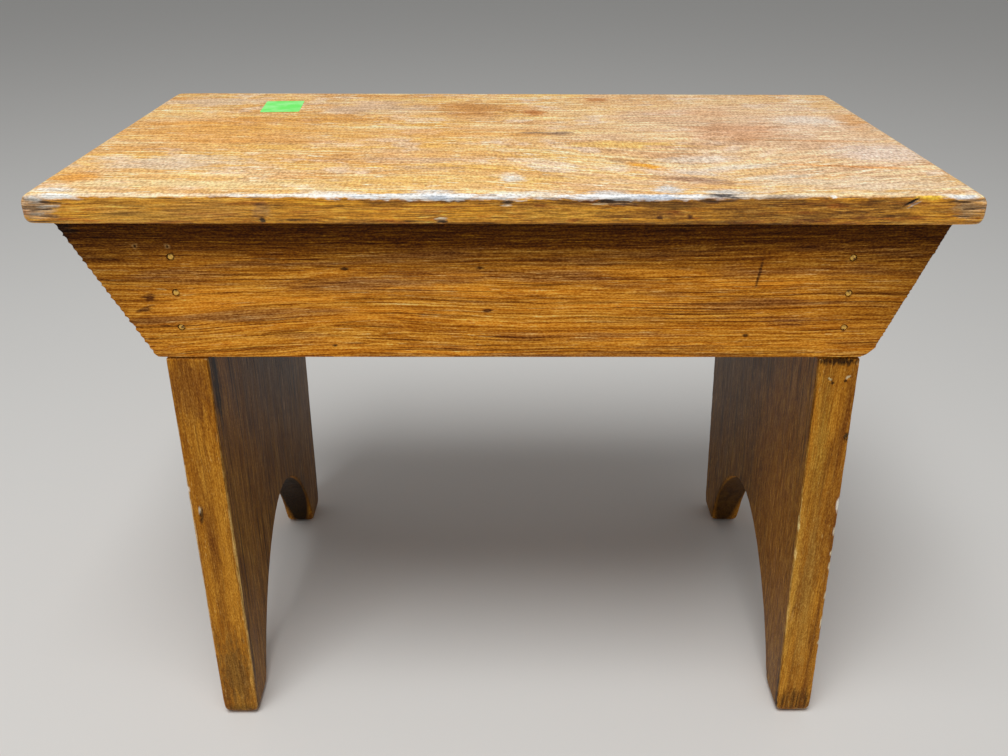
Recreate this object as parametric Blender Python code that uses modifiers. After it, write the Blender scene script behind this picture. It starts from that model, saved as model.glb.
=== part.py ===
"""Low five-board bench: a plank seat on two splayed, arched leg boards, with let-in aprons and wire nails.

Metres, +Z up. The origin is on the floor under the middle of the seat, +X runs along the seat and the
front apron faces -Y.
"""
import math
from typing import NamedTuple, Optional

import bmesh
import bpy
from mathutils import Matrix, Vector

# Seat board
SEAT_LENGTH = 0.400
SEAT_WIDTH = 0.216
SEAT_HEIGHT = 0.300
SEAT_THICKNESS = 0.013
SEAT_CORNER_RADIUS = 0.007
SEAT_ARRIS = 0.0018

# Aprons: their ends slope in towards the floor, each end sawn to its own slope and corner
APRON_HEIGHT = 0.064
APRON_THICKNESS = 0.013
APRON_ARRIS = 0.0010
END_OVERHANG = 0.0105
SIDE_OVERHANG = 0.006
LEFT_END_RUN = 0.032
RIGHT_END_RUN = 0.024
LEFT_CORNER_RADIUS = 0.004
RIGHT_CORNER_RADIUS = 0.011

# Leg boards: notched at the top for the aprons, arched at the bottom to leave two feet
LEG_THICKNESS = 0.019
LEG_ARRIS = 0.0012
LEG_SETBACK = 0.0038
LEFT_SPLAY_DEGREES = 0.6
RIGHT_SPLAY_DEGREES = 2.7
FOOT_WIDTH = 0.023
ARCH_RISE = 0.082
ARCH_CROWN = 0.034
ARCH_FLANK = 0.038
ARCH_LEAN = 0.010

# Wire nails: a row through each apron into each leg, and a punched-down row through the seat
NAIL_LENGTH = 0.038
NAIL_SHANK_RADIUS = 0.0009
NAIL_HEAD_RADIUS = 0.0014
NAIL_HEAD_HEIGHT = 0.0012
NAIL_POINT_LENGTH = 0.003
NAILS_IN_ROW = 3
APRON_NAIL_FROM_TOP = 0.016
APRON_NAIL_PITCH = 0.0165
APRON_NAIL_SINK = 0.0002
SEAT_NAIL_PITCH = 0.045
SEAT_NAIL_SINK = 0.002

# Clearances and facets
JOINT_GAP = 0.0003
NAIL_GAP = 0.0003
SOCKET_PROUD = 0.002
WELD_DISTANCE = 0.000001
CURVE_STEPS = 9
NAIL_FACETS = 12
BEVEL_STEPS = 2
BEVEL_ANGLE = math.radians(40)

# Heights and half widths that follow from the sizes above
JOINT_HEIGHT = SEAT_HEIGHT - SEAT_THICKNESS - JOINT_GAP
APRON_BOTTOM = JOINT_HEIGHT - APRON_HEIGHT
FRAME_HALF_WIDTH = SEAT_WIDTH / 2 - SIDE_OVERHANG
APRON_HALF_LENGTH = SEAT_LENGTH / 2 - END_OVERHANG


class End(NamedTuple):
    """One end of the bench: which way it lies along X, and how it was cut."""

    name: str
    side: int
    run: float
    corner_radius: float
    splay: float

    @property
    def apron_corner_x(self) -> float:
        """Distance from the middle to the apron's lower corner."""
        return APRON_HALF_LENGTH - self.run

    @property
    def lean(self) -> float:
        """How far the leg board moves out for each unit that it goes down."""
        return math.tan(self.splay)

    @property
    def level_thickness(self) -> float:
        """The leg board's thickness, measured level across its lean."""
        return LEG_THICKNESS / math.cos(self.splay)

    def leg_middle_x(self, height: float) -> float:
        """X of the leg board's middle plane at a height above the floor."""
        outer = self.apron_corner_x - LEG_SETBACK
        return self.side * (outer - self.level_thickness / 2 + self.lean * (APRON_BOTTOM - height))


class Knot(NamedTuple):
    """A point of an outline. A handle bends the stretch on its side; no handle keeps that stretch straight."""

    point: Vector
    before: Optional[Vector] = None
    after: Optional[Vector] = None


ENDS = (
    End("left", -1, LEFT_END_RUN, LEFT_CORNER_RADIUS, math.radians(LEFT_SPLAY_DEGREES)),
    End("right", 1, RIGHT_END_RUN, RIGHT_CORNER_RADIUS, math.radians(RIGHT_SPLAY_DEGREES)),
)


def clear_scene():
    """Remove what an earlier run or the start-up file left."""
    for thing in list(bpy.data.objects):
        bpy.data.objects.remove(thing, do_unlink=True)
    for collection in list(bpy.data.collections):
        bpy.data.collections.remove(collection)


def new_collection(name):
    """Add a collection to the scene."""
    collection = bpy.data.collections.new(name)
    bpy.context.scene.collection.children.link(collection)
    return collection


def linear(channel):
    """Turn one sRGB channel, 0 to 1, into the linear value that a shader takes."""
    return channel / 12.92 if channel <= 0.04045 else ((channel + 0.055) / 1.055) ** 2.4


def new_material(name, srgb, roughness, metallic=0.0):
    """Make a plain Principled material from an sRGB colour in 0 to 255."""
    material = bpy.data.materials.new(name)
    material.use_nodes = True
    shader = material.node_tree.nodes["Principled BSDF"]
    shader.inputs["Base Color"].default_value = [linear(value / 255) for value in srgb] + [1.0]
    shader.inputs["Roughness"].default_value = roughness
    shader.inputs["Metallic"].default_value = metallic
    return material


def add_object(name, mesh, collection, parent=None, material=None):
    """Link a mesh into a collection as a named object."""
    thing = bpy.data.objects.new(name, mesh)
    collection.objects.link(thing)
    thing.parent = parent
    if material is not None:
        mesh.materials.clear()
        mesh.materials.append(material)
    return thing


def rounded_corner(corner, previous, following, radius):
    """Replace a sharp outline corner by the two knots of an arc that is tangent to both its sides."""
    towards_previous = (previous - corner).normalized()
    towards_following = (following - corner).normalized()
    half_angle = towards_previous.angle(towards_following) / 2
    reach = radius / math.tan(half_angle)
    handle = radius * 4 / 3 * math.tan((math.pi / 2 - half_angle) / 2)
    start = corner + towards_previous * reach
    finish = corner + towards_following * reach
    return [
        Knot(start, after=start - towards_previous * handle),
        Knot(finish, before=finish - towards_following * handle),
    ]


def outline_mesh(name, knots, thickness, placing):
    """Fill a closed outline, thicken it evenly to both sides and place it, as one welded mesh."""
    curve = bpy.data.curves.new(name, "CURVE")
    curve.dimensions = "2D"
    curve.fill_mode = "BOTH"
    curve.extrude = thickness / 2
    curve.resolution_u = CURVE_STEPS
    spline = curve.splines.new("BEZIER")
    spline.use_cyclic_u = True
    spline.bezier_points.add(len(knots) - 1)
    for target, knot in zip(spline.bezier_points, knots):
        target.co = knot.point.to_3d()
        target.handle_left_type = "FREE" if knot.before else "VECTOR"
        target.handle_right_type = "FREE" if knot.after else "VECTOR"
        if knot.before:
            target.handle_left = knot.before.to_3d()
        if knot.after:
            target.handle_right = knot.after.to_3d()
    drawn = bpy.data.objects.new(name, curve)
    bpy.context.scene.collection.objects.link(drawn)
    graph = bpy.context.evaluated_depsgraph_get()
    mesh = bpy.data.meshes.new_from_object(drawn.evaluated_get(graph))
    bpy.data.objects.remove(drawn, do_unlink=True)
    bpy.data.curves.remove(curve)
    mesh.transform(placing)
    solid = bmesh.new()
    solid.from_mesh(mesh)
    bmesh.ops.remove_doubles(solid, verts=solid.verts, dist=WELD_DISTANCE)
    bmesh.ops.dissolve_limit(solid, angle_limit=math.radians(0.5), verts=solid.verts, edges=solid.edges)
    bmesh.ops.recalc_face_normals(solid, faces=solid.faces)
    solid.to_mesh(mesh)
    solid.free()
    mesh.name = name
    mesh.shade_smooth()
    mesh.set_sharp_from_angle(angle=BEVEL_ANGLE)
    return mesh


def ease_arrises(board, width):
    """Round a board's edges over, as wear and sanding leave them."""
    bevel = board.modifiers.new("arris", "BEVEL")
    bevel.width = width
    bevel.segments = BEVEL_STEPS
    bevel.limit_method = "ANGLE"
    bevel.angle_limit = BEVEL_ANGLE


def bore_for_nails(board, sockets):
    """Cut every nail socket that reaches a board out of it."""
    cut = board.modifiers.new("nail_sockets", "BOOLEAN")
    cut.operation = "DIFFERENCE"
    cut.solver = "EXACT"
    cut.operand_type = "COLLECTION"
    cut.collection = sockets


def seat_board(parts, parent, material):
    """The plank seat: a rectangle with rounded corners, lying flat."""
    half = Vector((SEAT_LENGTH / 2, SEAT_WIDTH / 2))
    corners = [Vector((half.x * sx, half.y * sy)) for sx, sy in ((-1, -1), (1, -1), (1, 1), (-1, 1))]
    knots = []
    for place, corner in enumerate(corners):
        following = corners[(place + 1) % len(corners)]
        knots += rounded_corner(corner, corners[place - 1], following, SEAT_CORNER_RADIUS)
    mesh = outline_mesh("seat_board", knots, SEAT_THICKNESS, Matrix.Identity(4))
    board = add_object("seat_board", mesh, parts, parent, material)
    board.location.z = SEAT_HEIGHT - SEAT_THICKNESS / 2
    ease_arrises(board, SEAT_ARRIS)
    return board


def apron_board(name, facing, parts, parent, material):
    """A long side board under the seat, with sloping ends and rounded lower corners."""
    left, right = ENDS
    lower_left = Vector((-left.apron_corner_x, 0))
    lower_right = Vector((right.apron_corner_x, 0))
    upper_right = Vector((APRON_HALF_LENGTH, APRON_HEIGHT))
    upper_left = Vector((-APRON_HALF_LENGTH, APRON_HEIGHT))
    knots = rounded_corner(lower_left, upper_left, lower_right, left.corner_radius)
    knots += rounded_corner(lower_right, lower_left, upper_right, right.corner_radius)
    knots += [Knot(upper_right), Knot(upper_left)]
    upright = Matrix.Rotation(math.pi / 2, 4, "X")
    mesh = outline_mesh(name, knots, APRON_THICKNESS, upright)
    board = add_object(name, mesh, parts, parent, material)
    board.location = (0, facing * (FRAME_HALF_WIDTH - APRON_THICKNESS / 2), APRON_BOTTOM)
    ease_arrises(board, APRON_ARRIS)
    return board


def leg_outline():
    """Half a leg's outline is a foot, an edge, a notch and a tongue; the other half mirrors it across the arch."""
    tongue = FRAME_HALF_WIDTH - APRON_THICKNESS - JOINT_GAP
    shoulder = APRON_BOTTOM - JOINT_GAP
    inner_foot = FRAME_HALF_WIDTH - FOOT_WIDTH
    crown = Vector((0, ARCH_RISE))
    knots = [
        Knot(Vector((-FRAME_HALF_WIDTH, 0))),
        Knot(Vector((-inner_foot, 0)), after=Vector((ARCH_LEAN - inner_foot, ARCH_FLANK))),
        Knot(crown, before=crown - Vector((ARCH_CROWN, 0)), after=crown + Vector((ARCH_CROWN, 0))),
        Knot(Vector((inner_foot, 0)), before=Vector((inner_foot - ARCH_LEAN, ARCH_FLANK))),
        Knot(Vector((FRAME_HALF_WIDTH, 0))),
    ]
    notch = [(FRAME_HALF_WIDTH, shoulder), (tongue, shoulder), (tongue, JOINT_HEIGHT)]
    knots += [Knot(Vector(place)) for place in notch]
    knots += [Knot(Vector((-across, height))) for across, height in reversed(notch)]
    return knots


def leg_board(end, parts, parent, material):
    """A leaning leg board whose soles, shoulders and top are cut level."""
    name = f"{end.name}_leg"
    leaning = Matrix((
        (0, -end.side * end.lean, 1, 0),
        (1, 0, 0, 0),
        (0, 1, 0, 0),
        (0, 0, 0, 1),
    ))
    mesh = outline_mesh(name, leg_outline(), end.level_thickness, leaning)
    board = add_object(name, mesh, parts, parent, material)
    board.location.x = end.leg_middle_x(0)
    ease_arrises(board, LEG_ARRIS)
    return board


def nail_profile(grow=0.0, proud=0.0):
    """Half the section of a wire nail, down its outer side from the head. A socket is the same, grown."""
    head_foot = -NAIL_HEAD_HEIGHT - grow
    shank = NAIL_SHANK_RADIUS + grow
    head = NAIL_HEAD_RADIUS + grow
    return [
        (0, proud),
        (head, proud),
        (head, head_foot),
        (shank, head_foot),
        (shank, NAIL_POINT_LENGTH - NAIL_LENGTH - grow),
        (0, -NAIL_LENGTH - grow),
    ]


def turned(name, profile, collection, parent=None, material=None):
    """Spin a half section about Z into a closed round piece."""
    mesh = bpy.data.meshes.new(name)
    mesh.from_pydata([(radius, 0, height) for radius, height in profile],
                     [(step, step + 1) for step in range(len(profile) - 1)], [])
    piece = add_object(name, mesh, collection, parent, material)
    spin = piece.modifiers.new("spin", "SCREW")
    spin.axis = "Z"
    spin.angle = math.tau
    spin.steps = NAIL_FACETS
    spin.render_steps = NAIL_FACETS
    spin.use_merge_vertices = True
    spin.merge_threshold = WELD_DISTANCE
    return piece


def drive_nail(name, head_at, tilt, proud, parts, sockets, parent, material):
    """Place a nail, head first, and the socket that it leaves in the boards round it."""
    nail = turned(name, nail_profile(), parts, parent, material)
    socket = turned(f"{name}_socket", nail_profile(NAIL_GAP, proud), sockets, parent)
    socket.hide_render = True
    socket.display_type = "WIRE"
    for piece in (nail, socket):
        piece.location = head_at
        piece.rotation_euler.x = tilt


def apron_nails(end, facing, parts, sockets, parent, material):
    """A row of nails, one above the other, through an apron into the edge of a leg board."""
    face = "front" if facing < 0 else "rear"
    for place in range(NAILS_IN_ROW):
        height = JOINT_HEIGHT - APRON_NAIL_FROM_TOP - place * APRON_NAIL_PITCH
        head_at = (end.leg_middle_x(height), facing * (FRAME_HALF_WIDTH - APRON_NAIL_SINK), height)
        name = f"{face}_nail_{end.name}_{place + 1}"
        drive_nail(name, head_at, -facing * math.pi / 2, SOCKET_PROUD, parts, sockets, parent, material)


def seat_nails(end, parts, sockets, parent, material):
    """A row of nails through the seat into the end grain of a leg, punched down and stopped over."""
    head_height = SEAT_HEIGHT - SEAT_NAIL_SINK
    middle_x = end.leg_middle_x(JOINT_HEIGHT - (NAIL_LENGTH - SEAT_THICKNESS) / 2)
    for place in range(NAILS_IN_ROW):
        across = (place - (NAILS_IN_ROW - 1) / 2) * SEAT_NAIL_PITCH
        name = f"seat_nail_{end.name}_{place + 1}"
        drive_nail(name, (middle_x, across, head_height), 0.0, NAIL_GAP, parts, sockets, parent, material)


def build():
    """Make the whole bench."""
    clear_scene()
    parts = new_collection("low_bench")
    sockets = new_collection("nail_socket_cutters")
    bench = bpy.data.objects.new("low_bench_origin", None)
    parts.objects.link(bench)
    nail_steel = new_material("nail_steel", (186, 152, 92), 0.45, metallic=1.0)
    boards = [
        seat_board(parts, bench, new_material("seat_wood", (178, 122, 68), 0.42)),
        apron_board("front_apron", -1, parts, bench, new_material("front_apron_wood", (160, 98, 36), 0.40)),
        apron_board("rear_apron", 1, parts, bench, new_material("rear_apron_wood", (160, 98, 36), 0.40)),
    ]
    for end in ENDS:
        leg_wood = new_material(f"{end.name}_leg_wood", (156, 104, 50), 0.42)
        boards.append(leg_board(end, parts, bench, leg_wood))
        for facing in (-1, 1):
            apron_nails(end, facing, parts, sockets, bench, nail_steel)
        seat_nails(end, parts, sockets, bench, nail_steel)
    for board in boards:
        bore_for_nails(board, sockets)


if __name__ == "__main__":
    build()
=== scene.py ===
"""Low bench: five worn, varnished pine boards, their wire nails and a paper label, dressed over the CAD."""
import logging
import math
from collections.abc import Callable
from dataclasses import dataclass
from enum import Enum

import bmesh
import bpy
import numpy as np
from mathutils import Matrix, Vector
from mathutils.bvhtree import BVHTree


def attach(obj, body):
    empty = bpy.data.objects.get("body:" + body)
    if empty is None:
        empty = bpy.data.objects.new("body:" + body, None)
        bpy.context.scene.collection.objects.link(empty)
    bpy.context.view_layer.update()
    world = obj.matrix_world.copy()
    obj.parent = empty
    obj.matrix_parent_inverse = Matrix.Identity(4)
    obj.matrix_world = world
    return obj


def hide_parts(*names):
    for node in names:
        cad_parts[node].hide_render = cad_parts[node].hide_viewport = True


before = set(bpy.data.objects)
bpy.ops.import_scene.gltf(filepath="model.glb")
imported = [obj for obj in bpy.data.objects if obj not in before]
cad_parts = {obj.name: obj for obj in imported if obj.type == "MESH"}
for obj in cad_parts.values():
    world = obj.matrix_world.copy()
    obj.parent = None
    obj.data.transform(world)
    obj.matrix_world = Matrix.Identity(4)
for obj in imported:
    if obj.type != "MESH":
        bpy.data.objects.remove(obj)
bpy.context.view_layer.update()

LOG = logging.getLogger("low_bench")
MM = 0.001
SEAT_FACE = 299.6
SEAT_FRONT = -107.8
BOARD_FRONT = -102.0
RIGHT_LEAN = -2.7
TONE_MIDDLE = 0.56
NEAR = 0.01
SMOOTHING = 0.5
BOARD_CREASE = math.radians(50)
NAIL_CREASE = math.radians(40)
NAIL_SIDES = 20
RAMP_STOPS = (0.16, 0.34, 0.50, 0.64, 0.82)

Triple = tuple[float, float, float]
Shades = tuple[tuple[float, str], ...]
Feed = bpy.types.Node | bpy.types.NodeSocket | float | tuple | dict | None


class Grain(Enum):
    """The way a board's fibres run, as the turn that brings them to a pattern's own X axis."""

    ALONG_SEAT = (0.0, 0.0, 0.0)
    ALONG_APRON = (math.pi / 2, 0.0, 0.0)
    UP_LEG = (0.0, math.pi / 2, 0.0)


class Pick(Enum):
    """What a test in edit mode selects."""

    POINTS = "VERT"
    EDGES = "EDGE"
    FACES = "FACE"


class Side(Enum):
    """Which of a board's sides a field of patches lies on."""

    ALL = "all"
    FIRST = "first"
    OTHER = "other"


class Rim(Enum):
    """How a mark's edge frays: its bits' size in mm along and across the grain, and their reach."""

    CLEAN = (1.0, 1.0, 0.0)
    RAGGED = (5.0, 1.4, 1.6)
    LOOSE = (24.0, 7.0, 2.6)


@dataclass(frozen=True)
class Mark:
    """One stain, scuff or bare spot, or a patch of painted shade, shadow, light or highlight, as a soft-edged
    oval in mm on the bench.
    """

    at: Triple
    half: Triple
    colour: str
    strength: float
    turn: Triple = (0.0, 0.0, 0.0)
    core: float = 0.45
    gritty: bool = False
    rim: Rim = Rim.RAGGED

    @classmethod
    def on_top(cls, x: float, y: float, along: float, across: float, colour: str, strength: float,
               turn: float = 0.0, **more: object) -> "Mark":
        """Puts a mark on the seat's upper face, turned in degrees about the vertical."""
        return cls((x, y, SEAT_FACE), (along, across, 1.6), colour, strength, (0.0, 0.0, turn), **more)

    @classmethod
    def on_front(cls, x: float, z: float, along: float, up: float, colour: str, strength: float,
                 turn: float = 0.0, face: float = SEAT_FRONT, **more: object) -> "Mark":
        """Puts a mark on a face that looks to the front, turned in degrees within it."""
        return cls((x, face, z), (along, 2.0, up), colour, strength, (0.0, turn, 0.0), **more)

    @classmethod
    def on_board(cls, x: float, z: float, along: float, up: float, colour: str, strength: float,
                 turn: float = 0.0, **more: object) -> "Mark":
        """Puts a mark on the front of an apron or a leg."""
        return cls.on_front(x, z, along, up, colour, strength, turn, BOARD_FRONT, **more)


@dataclass(frozen=True)
class Veil:
    """A field of soft patches in one colour, with their size in mm along, across and through the board."""

    colour: str
    size: Triple
    start: float
    full: float
    share: float
    side: Side = Side.ALL
    gritty: bool = False
    shift: float = 0.0
    detail: float = 3.0


@dataclass(frozen=True)
class Gouge:
    """One dent or splinter knocked out of a board, as an oval in mm on the bench."""

    at: Triple
    half: Triple
    turn: Triple = (0.0, 0.0, 0.0)


@dataclass(frozen=True)
class OtherSide:
    """A side of a board, named by its outward direction, that has aged to shades of its own; on the legs'
    inner faces these are partly painted shade.
    """

    faces: Triple
    shades: Shades
    contrast: float = 1.0
    weights: Triple = (1.2, 0.7, 1.0)


@dataclass(frozen=True)
class Knot:
    """A knot's pull on the grain round it, as an oval in mm on the board and how far it pushes the lines."""

    at: Triple
    half: Triple
    push: float


def linear(code: str) -> tuple[float, float, float, float]:
    """Turns an sRGB hex code into a linear colour.

    Args:
        code: The colour, such as "#A9681C".

    Returns:
        Red, green, blue and an alpha of 1.
    """
    shares = [int(code[i:i + 2], 16) / 255 for i in (1, 3, 5)]
    return (*[s / 12.92 if s <= 0.04045 else ((s + 0.055) / 1.055) ** 2.4 for s in shares], 1.0)


def shades_of(*codes: str) -> Shades:
    """Puts colours, from the darkest to the palest, on the usual stops of a ramp."""
    return tuple(zip(RAMP_STOPS, codes))


def add(tree: bpy.types.NodeTree, kind: str, *feeds: Feed, **settings: object) -> bpy.types.Node:
    """Adds one shader node with its settings and links.

    Args:
        tree: The material's or world's node tree.
        kind: The node's type, without its ShaderNode prefix.
        feeds: What goes into the sockets that the settings leave open, in their order, or a dict by name.
            A node gives its first open output, and None leaves a socket as it is.
        settings: The node's own properties, and stops for the places and colours of a ramp.

    Returns:
        The new node.
    """
    node = tree.nodes.new("ShaderNode" + kind)
    for place, (at, code) in enumerate(settings.pop("stops", ())):
        ramp = node.color_ramp.elements
        stop = ramp[place] if place < 2 else ramp.new(at)
        stop.position = at
        stop.color = linear(code)
    for name, value in settings.items():
        setattr(node, name, value)
    pairs = []
    for feed in feeds:
        if isinstance(feed, dict):
            pairs += [(node.inputs[name], value) for name, value in feed.items()]
    if not pairs:
        pairs = list(zip([s for s in node.inputs if s.enabled], feeds))
    for socket, feed in pairs:
        if isinstance(feed, bpy.types.Node):
            feed = next(s for s in feed.outputs if s.enabled)
        if isinstance(feed, bpy.types.NodeSocket):
            tree.links.new(feed, socket)
        elif feed is not None:
            socket.default_value = feed
    return node


def new_tree(name: str) -> tuple[bpy.types.Material, bpy.types.NodeTree]:
    """Starts an empty material.

    Args:
        name: What the material is called.

    Returns:
        The material and its node tree.
    """
    material = bpy.data.materials.new(name)
    material.use_nodes = True
    material.node_tree.nodes.clear()
    return material, material.node_tree


def place_in_mm(tree: bpy.types.NodeTree) -> bpy.types.Node:
    """Gives the point on the bench in mm."""
    return add(tree, "VectorMath", add(tree, "TexCoord").outputs["Object"], 1 / MM, operation="SCALE")


def mottle(tree: bpy.types.NodeTree, place: Feed, size: Triple, detail: float = 2.0,
           shift: float = 0.0) -> bpy.types.Node:
    """Lays an even random field whose blotches have a real size.

    Args:
        tree: The material's node tree.
        place: The point in mm, along, across and through the board.
        size: The blotches' size in mm along those three.
        detail: How many finer layers lie on it.
        shift: How far the field is moved, in blotches, so that no two match.

    Returns:
        The noise node, from 0 to 1 about a half.
    """
    spot = add(tree, "Mapping", place, (shift,) * 3, None, tuple(1 / s for s in size))
    return add(tree, "TexNoise", spot, 1.0, detail, 0.55)


def heap_up(tree: bpy.types.NodeTree, middle: float,
            layers: tuple[tuple[bpy.types.Node, float], ...]) -> Feed:
    """Adds random fields up, each by its own weight and about its own middle.

    Args:
        tree: The material's node tree.
        middle: What the sum is where every field is at its middle.
        layers: The fields and their weights.

    Returns:
        The sum.
    """
    total = middle - sum(weight for _, weight in layers) / 2
    for layer, weight in layers:
        total = add(tree, "Math", layer, weight, total, operation="MULTIPLY_ADD")
    return total


@dataclass(frozen=True)
class VarnishedPine:
    """Pine board, planed by hand and brushed with a shellac varnish that age has turned amber."""

    name: str
    grain: Grain
    ring: float
    heart: tuple[float, float]
    tilt: tuple[float, float]
    shades: Shades
    bare: str
    bend: float = 7.0
    late: float = 0.30
    weights: Triple = (1.2, 0.7, 1.0)
    lines: float = 1.0
    lift: float = 0.7
    thin: float = 0.3
    streak: Triple = (75.0, 0.9, 0.9)
    fibre: Triple = (26.0, 0.45, 0.45)
    grit: Triple = (1.6, 0.7, 0.7)
    shine: float = 0.15
    spread: tuple[float, float] = (1.0, 1.0)
    other: OtherSide | None = None
    veils: tuple[Veil, ...] = ()
    knots: tuple[Knot, ...] = ()
    gloss: float = 0.36
    bare_share: float = 0.35
    marks: tuple[Mark, ...] = ()

    def material(self) -> bpy.types.Material:
        """Builds the board's material.

        Late wood gives the eye thin dark lines, early wood a soft amber that glows between them, and the
        varnish a low, uneven shine that has gone from the arrises and is scuffed to a haze where feet rub.

        Returns:
            The material.
        """
        material, tree = new_tree(self.name)
        place = place_in_mm(tree)
        board = add(tree, "Mapping", place, None, self.grain.value)
        flow = self.bent_grain(tree, board)
        fine = add(tree, "VectorMath", flow, (1.0, 1 / self.spread[0], 1 / self.spread[1]),
                   operation="MULTIPLY")
        # Real fibres are some 0.03 mm across, too fine to show, so they are drawn about 0.5 mm wide.
        streak = mottle(tree, flow, self.streak, 1.0)
        fibre = mottle(tree, flow, self.fibre, 2.0)
        fleck = mottle(tree, fine, (9.0, 0.45, 0.45), 1.0)
        speck = mottle(tree, fine, (1.2, 0.5, 0.5), 1.0)
        blotch = mottle(tree, flow, (70.0, 11.0, 11.0), 2.0)
        late = self.late_wood(tree, flow)
        tone = heap_up(tree, TONE_MIDDLE, ((streak, 0.35 * self.lines), (blotch, 0.3)))
        tone = add(tree, "Math", late, -self.late, tone, operation="MULTIPLY_ADD")
        colour = add(tree, "ValToRGB", tone, stops=self.shades)
        normal = add(tree, "NewGeometry").outputs["Normal"]
        side = None
        if self.other:
            lean = add(tree, "VectorMath", normal, self.other.faces, operation="DOT_PRODUCT")
            side = add(tree, "MapRange", lean, 0.55, 0.85)
            calm = add(tree, "MapRange", tone, 0.0, 1.0, TONE_MIDDLE - TONE_MIDDLE * self.other.contrast,
                       TONE_MIDDLE + (1 - TONE_MIDDLE) * self.other.contrast)
            aged = add(tree, "ValToRGB", calm, stops=self.other.shades)
            colour = add(tree, "Mix", side, colour, aged, data_type="RGBA")
        grit = add(tree, "MapRange", mottle(tree, fine, self.grit, 2.0), 0.34, 0.66, self.thin, 1.0)
        colour, rough = self.patches(tree, flow, grit, colour, side)
        colour, rough = self.worn_edges(tree, board, colour, rough)
        # The marks are stains and wear, and also painted shade, painted shadows, painted light and painted
        # highlights.
        colour = self.lay_marks_and_painted_light(tree, place, grit, colour)
        colour = self.grained(tree, (fibre, fleck, speck), side, colour)
        relief = add(tree, "Math", late, 0.5, add(tree, "Math", fibre, fleck, operation="ADD"),
                     operation="MULTIPLY_ADD")
        bump = add(tree, "Bump", {"Strength": 0.3, "Distance": 0.12 * MM, "Height": relief})
        shader = add(tree, "BsdfPrincipled", {"Base Color": colour, "Roughness": rough, "Normal": bump,
                                              "IOR": 1.5, "Specular IOR Level": self.shine,
                                              "Coat Weight": 0.05, "Coat Roughness": 0.2})
        add(tree, "OutputMaterial", shader)
        return material

    def grained(self, tree: bpy.types.NodeTree, layers: tuple[bpy.types.Node, ...],
                side: bpy.types.Node | None, colour: bpy.types.Node) -> bpy.types.Node:
        """Lets the fine grain catch more or less light, nearly alike in every hue.

        Args:
            tree: The material's node tree.
            layers: The fields of fibres, flecks and specks.
            side: Where the board has its other side, or None.
            colour: The colour so far.

        Returns:
            The colour with the grain in it.
        """
        swing = heap_up(tree, 0.0, tuple(zip(layers, self.weights)))
        if side:
            others = heap_up(tree, 0.0, tuple(zip(layers, self.other.weights)))
            swing = add(tree, "Mix", side, swing, others, data_type="FLOAT")
        gain = add(tree, "Math", swing, operation="EXPONENT")
        bend = add(tree, "Math", swing, -self.lift, 1.0, operation="MULTIPLY_ADD")
        lit = add(tree, "VectorMath", colour, gain, operation="MULTIPLY")
        lit = add(tree, "VectorMath", lit, (0.95, 0.95, 0.95), operation="MINIMUM")
        return add(tree, "Gamma", lit, bend)

    def bent_grain(self, tree: bpy.types.NodeTree, board: bpy.types.Node) -> bpy.types.Node:
        """Bends the board's own axes a little, so that its lines wander as a tree's fibres do.

        Args:
            tree: The material's node tree.
            board: The point in mm along, across and through the board.

        Returns:
            The bent point.
        """
        slow = mottle(tree, board, (230.0, 55.0, 55.0), 1.0).outputs["Color"]
        quick = mottle(tree, board, (40.0, 6.0, 6.0), 2.0).outputs["Color"]
        bent = add(tree, "VectorMath", slow, (0.0, self.bend, self.bend), board, operation="MULTIPLY_ADD")
        for knot in self.knots:
            start = tuple(-a / h for a, h in zip(knot.at, knot.half))
            spot = add(tree, "VectorMath", board, tuple(1 / h for h in knot.half), start,
                       operation="MULTIPLY_ADD")
            far = add(tree, "VectorMath", spot, operation="LENGTH")
            push = add(tree, "MapRange", far, 1.0, 0.0, 0.0, knot.push, interpolation_type="SMOOTHSTEP")
            bent = add(tree, "VectorMath", push, (0.0, 1.0, 0.0), bent, operation="MULTIPLY_ADD")
        return add(tree, "VectorMath", quick, (0.0, 1.8, 1.8), bent, operation="MULTIPLY_ADD")

    def late_wood(self, tree: bpy.types.NodeTree, flow: bpy.types.Node) -> bpy.types.Node:
        """Draws the growth rings, as round a tree's heart that lies beside the board.

        Args:
            tree: The material's node tree.
            flow: The bent point in mm along, across and through the board.

        Returns:
            How much of the point is dark late wood.
        """
        heart = add(tree, "Mapping", flow, (0.0, -self.heart[0], -self.heart[1]),
                    (0.0, self.tilt[1], self.tilt[0]))
        across = add(tree, "VectorMath", heart, (0.0, 1.0, 1.0), operation="MULTIPLY")
        years = add(tree, "Math", add(tree, "VectorMath", across, operation="LENGTH"), self.ring,
                    operation="DIVIDE")
        season = add(tree, "Math", years, operation="FRACT")
        rise = add(tree, "MapRange", season, 0.40, 0.90, interpolation_type="SMOOTHSTEP")
        fall = add(tree, "MapRange", season, 0.92, 1.0, 1.0, 0.0)
        line = add(tree, "Math", rise, fall, operation="MULTIPLY")
        year = add(tree, "TexWhiteNoise", add(tree, "Math", years, operation="FLOOR"), noise_dimensions="1D")
        lean_year = add(tree, "MapRange", year, 0.0, 1.0, 0.25, 1.1)
        broken = add(tree, "MapRange", mottle(tree, flow, (30.0, 4.0, 4.0), 1.0), 0.32, 0.62, 0.25, 1.0)
        line = add(tree, "Math", line, lean_year, operation="MULTIPLY")
        return add(tree, "Math", line, broken, operation="MULTIPLY")

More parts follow.
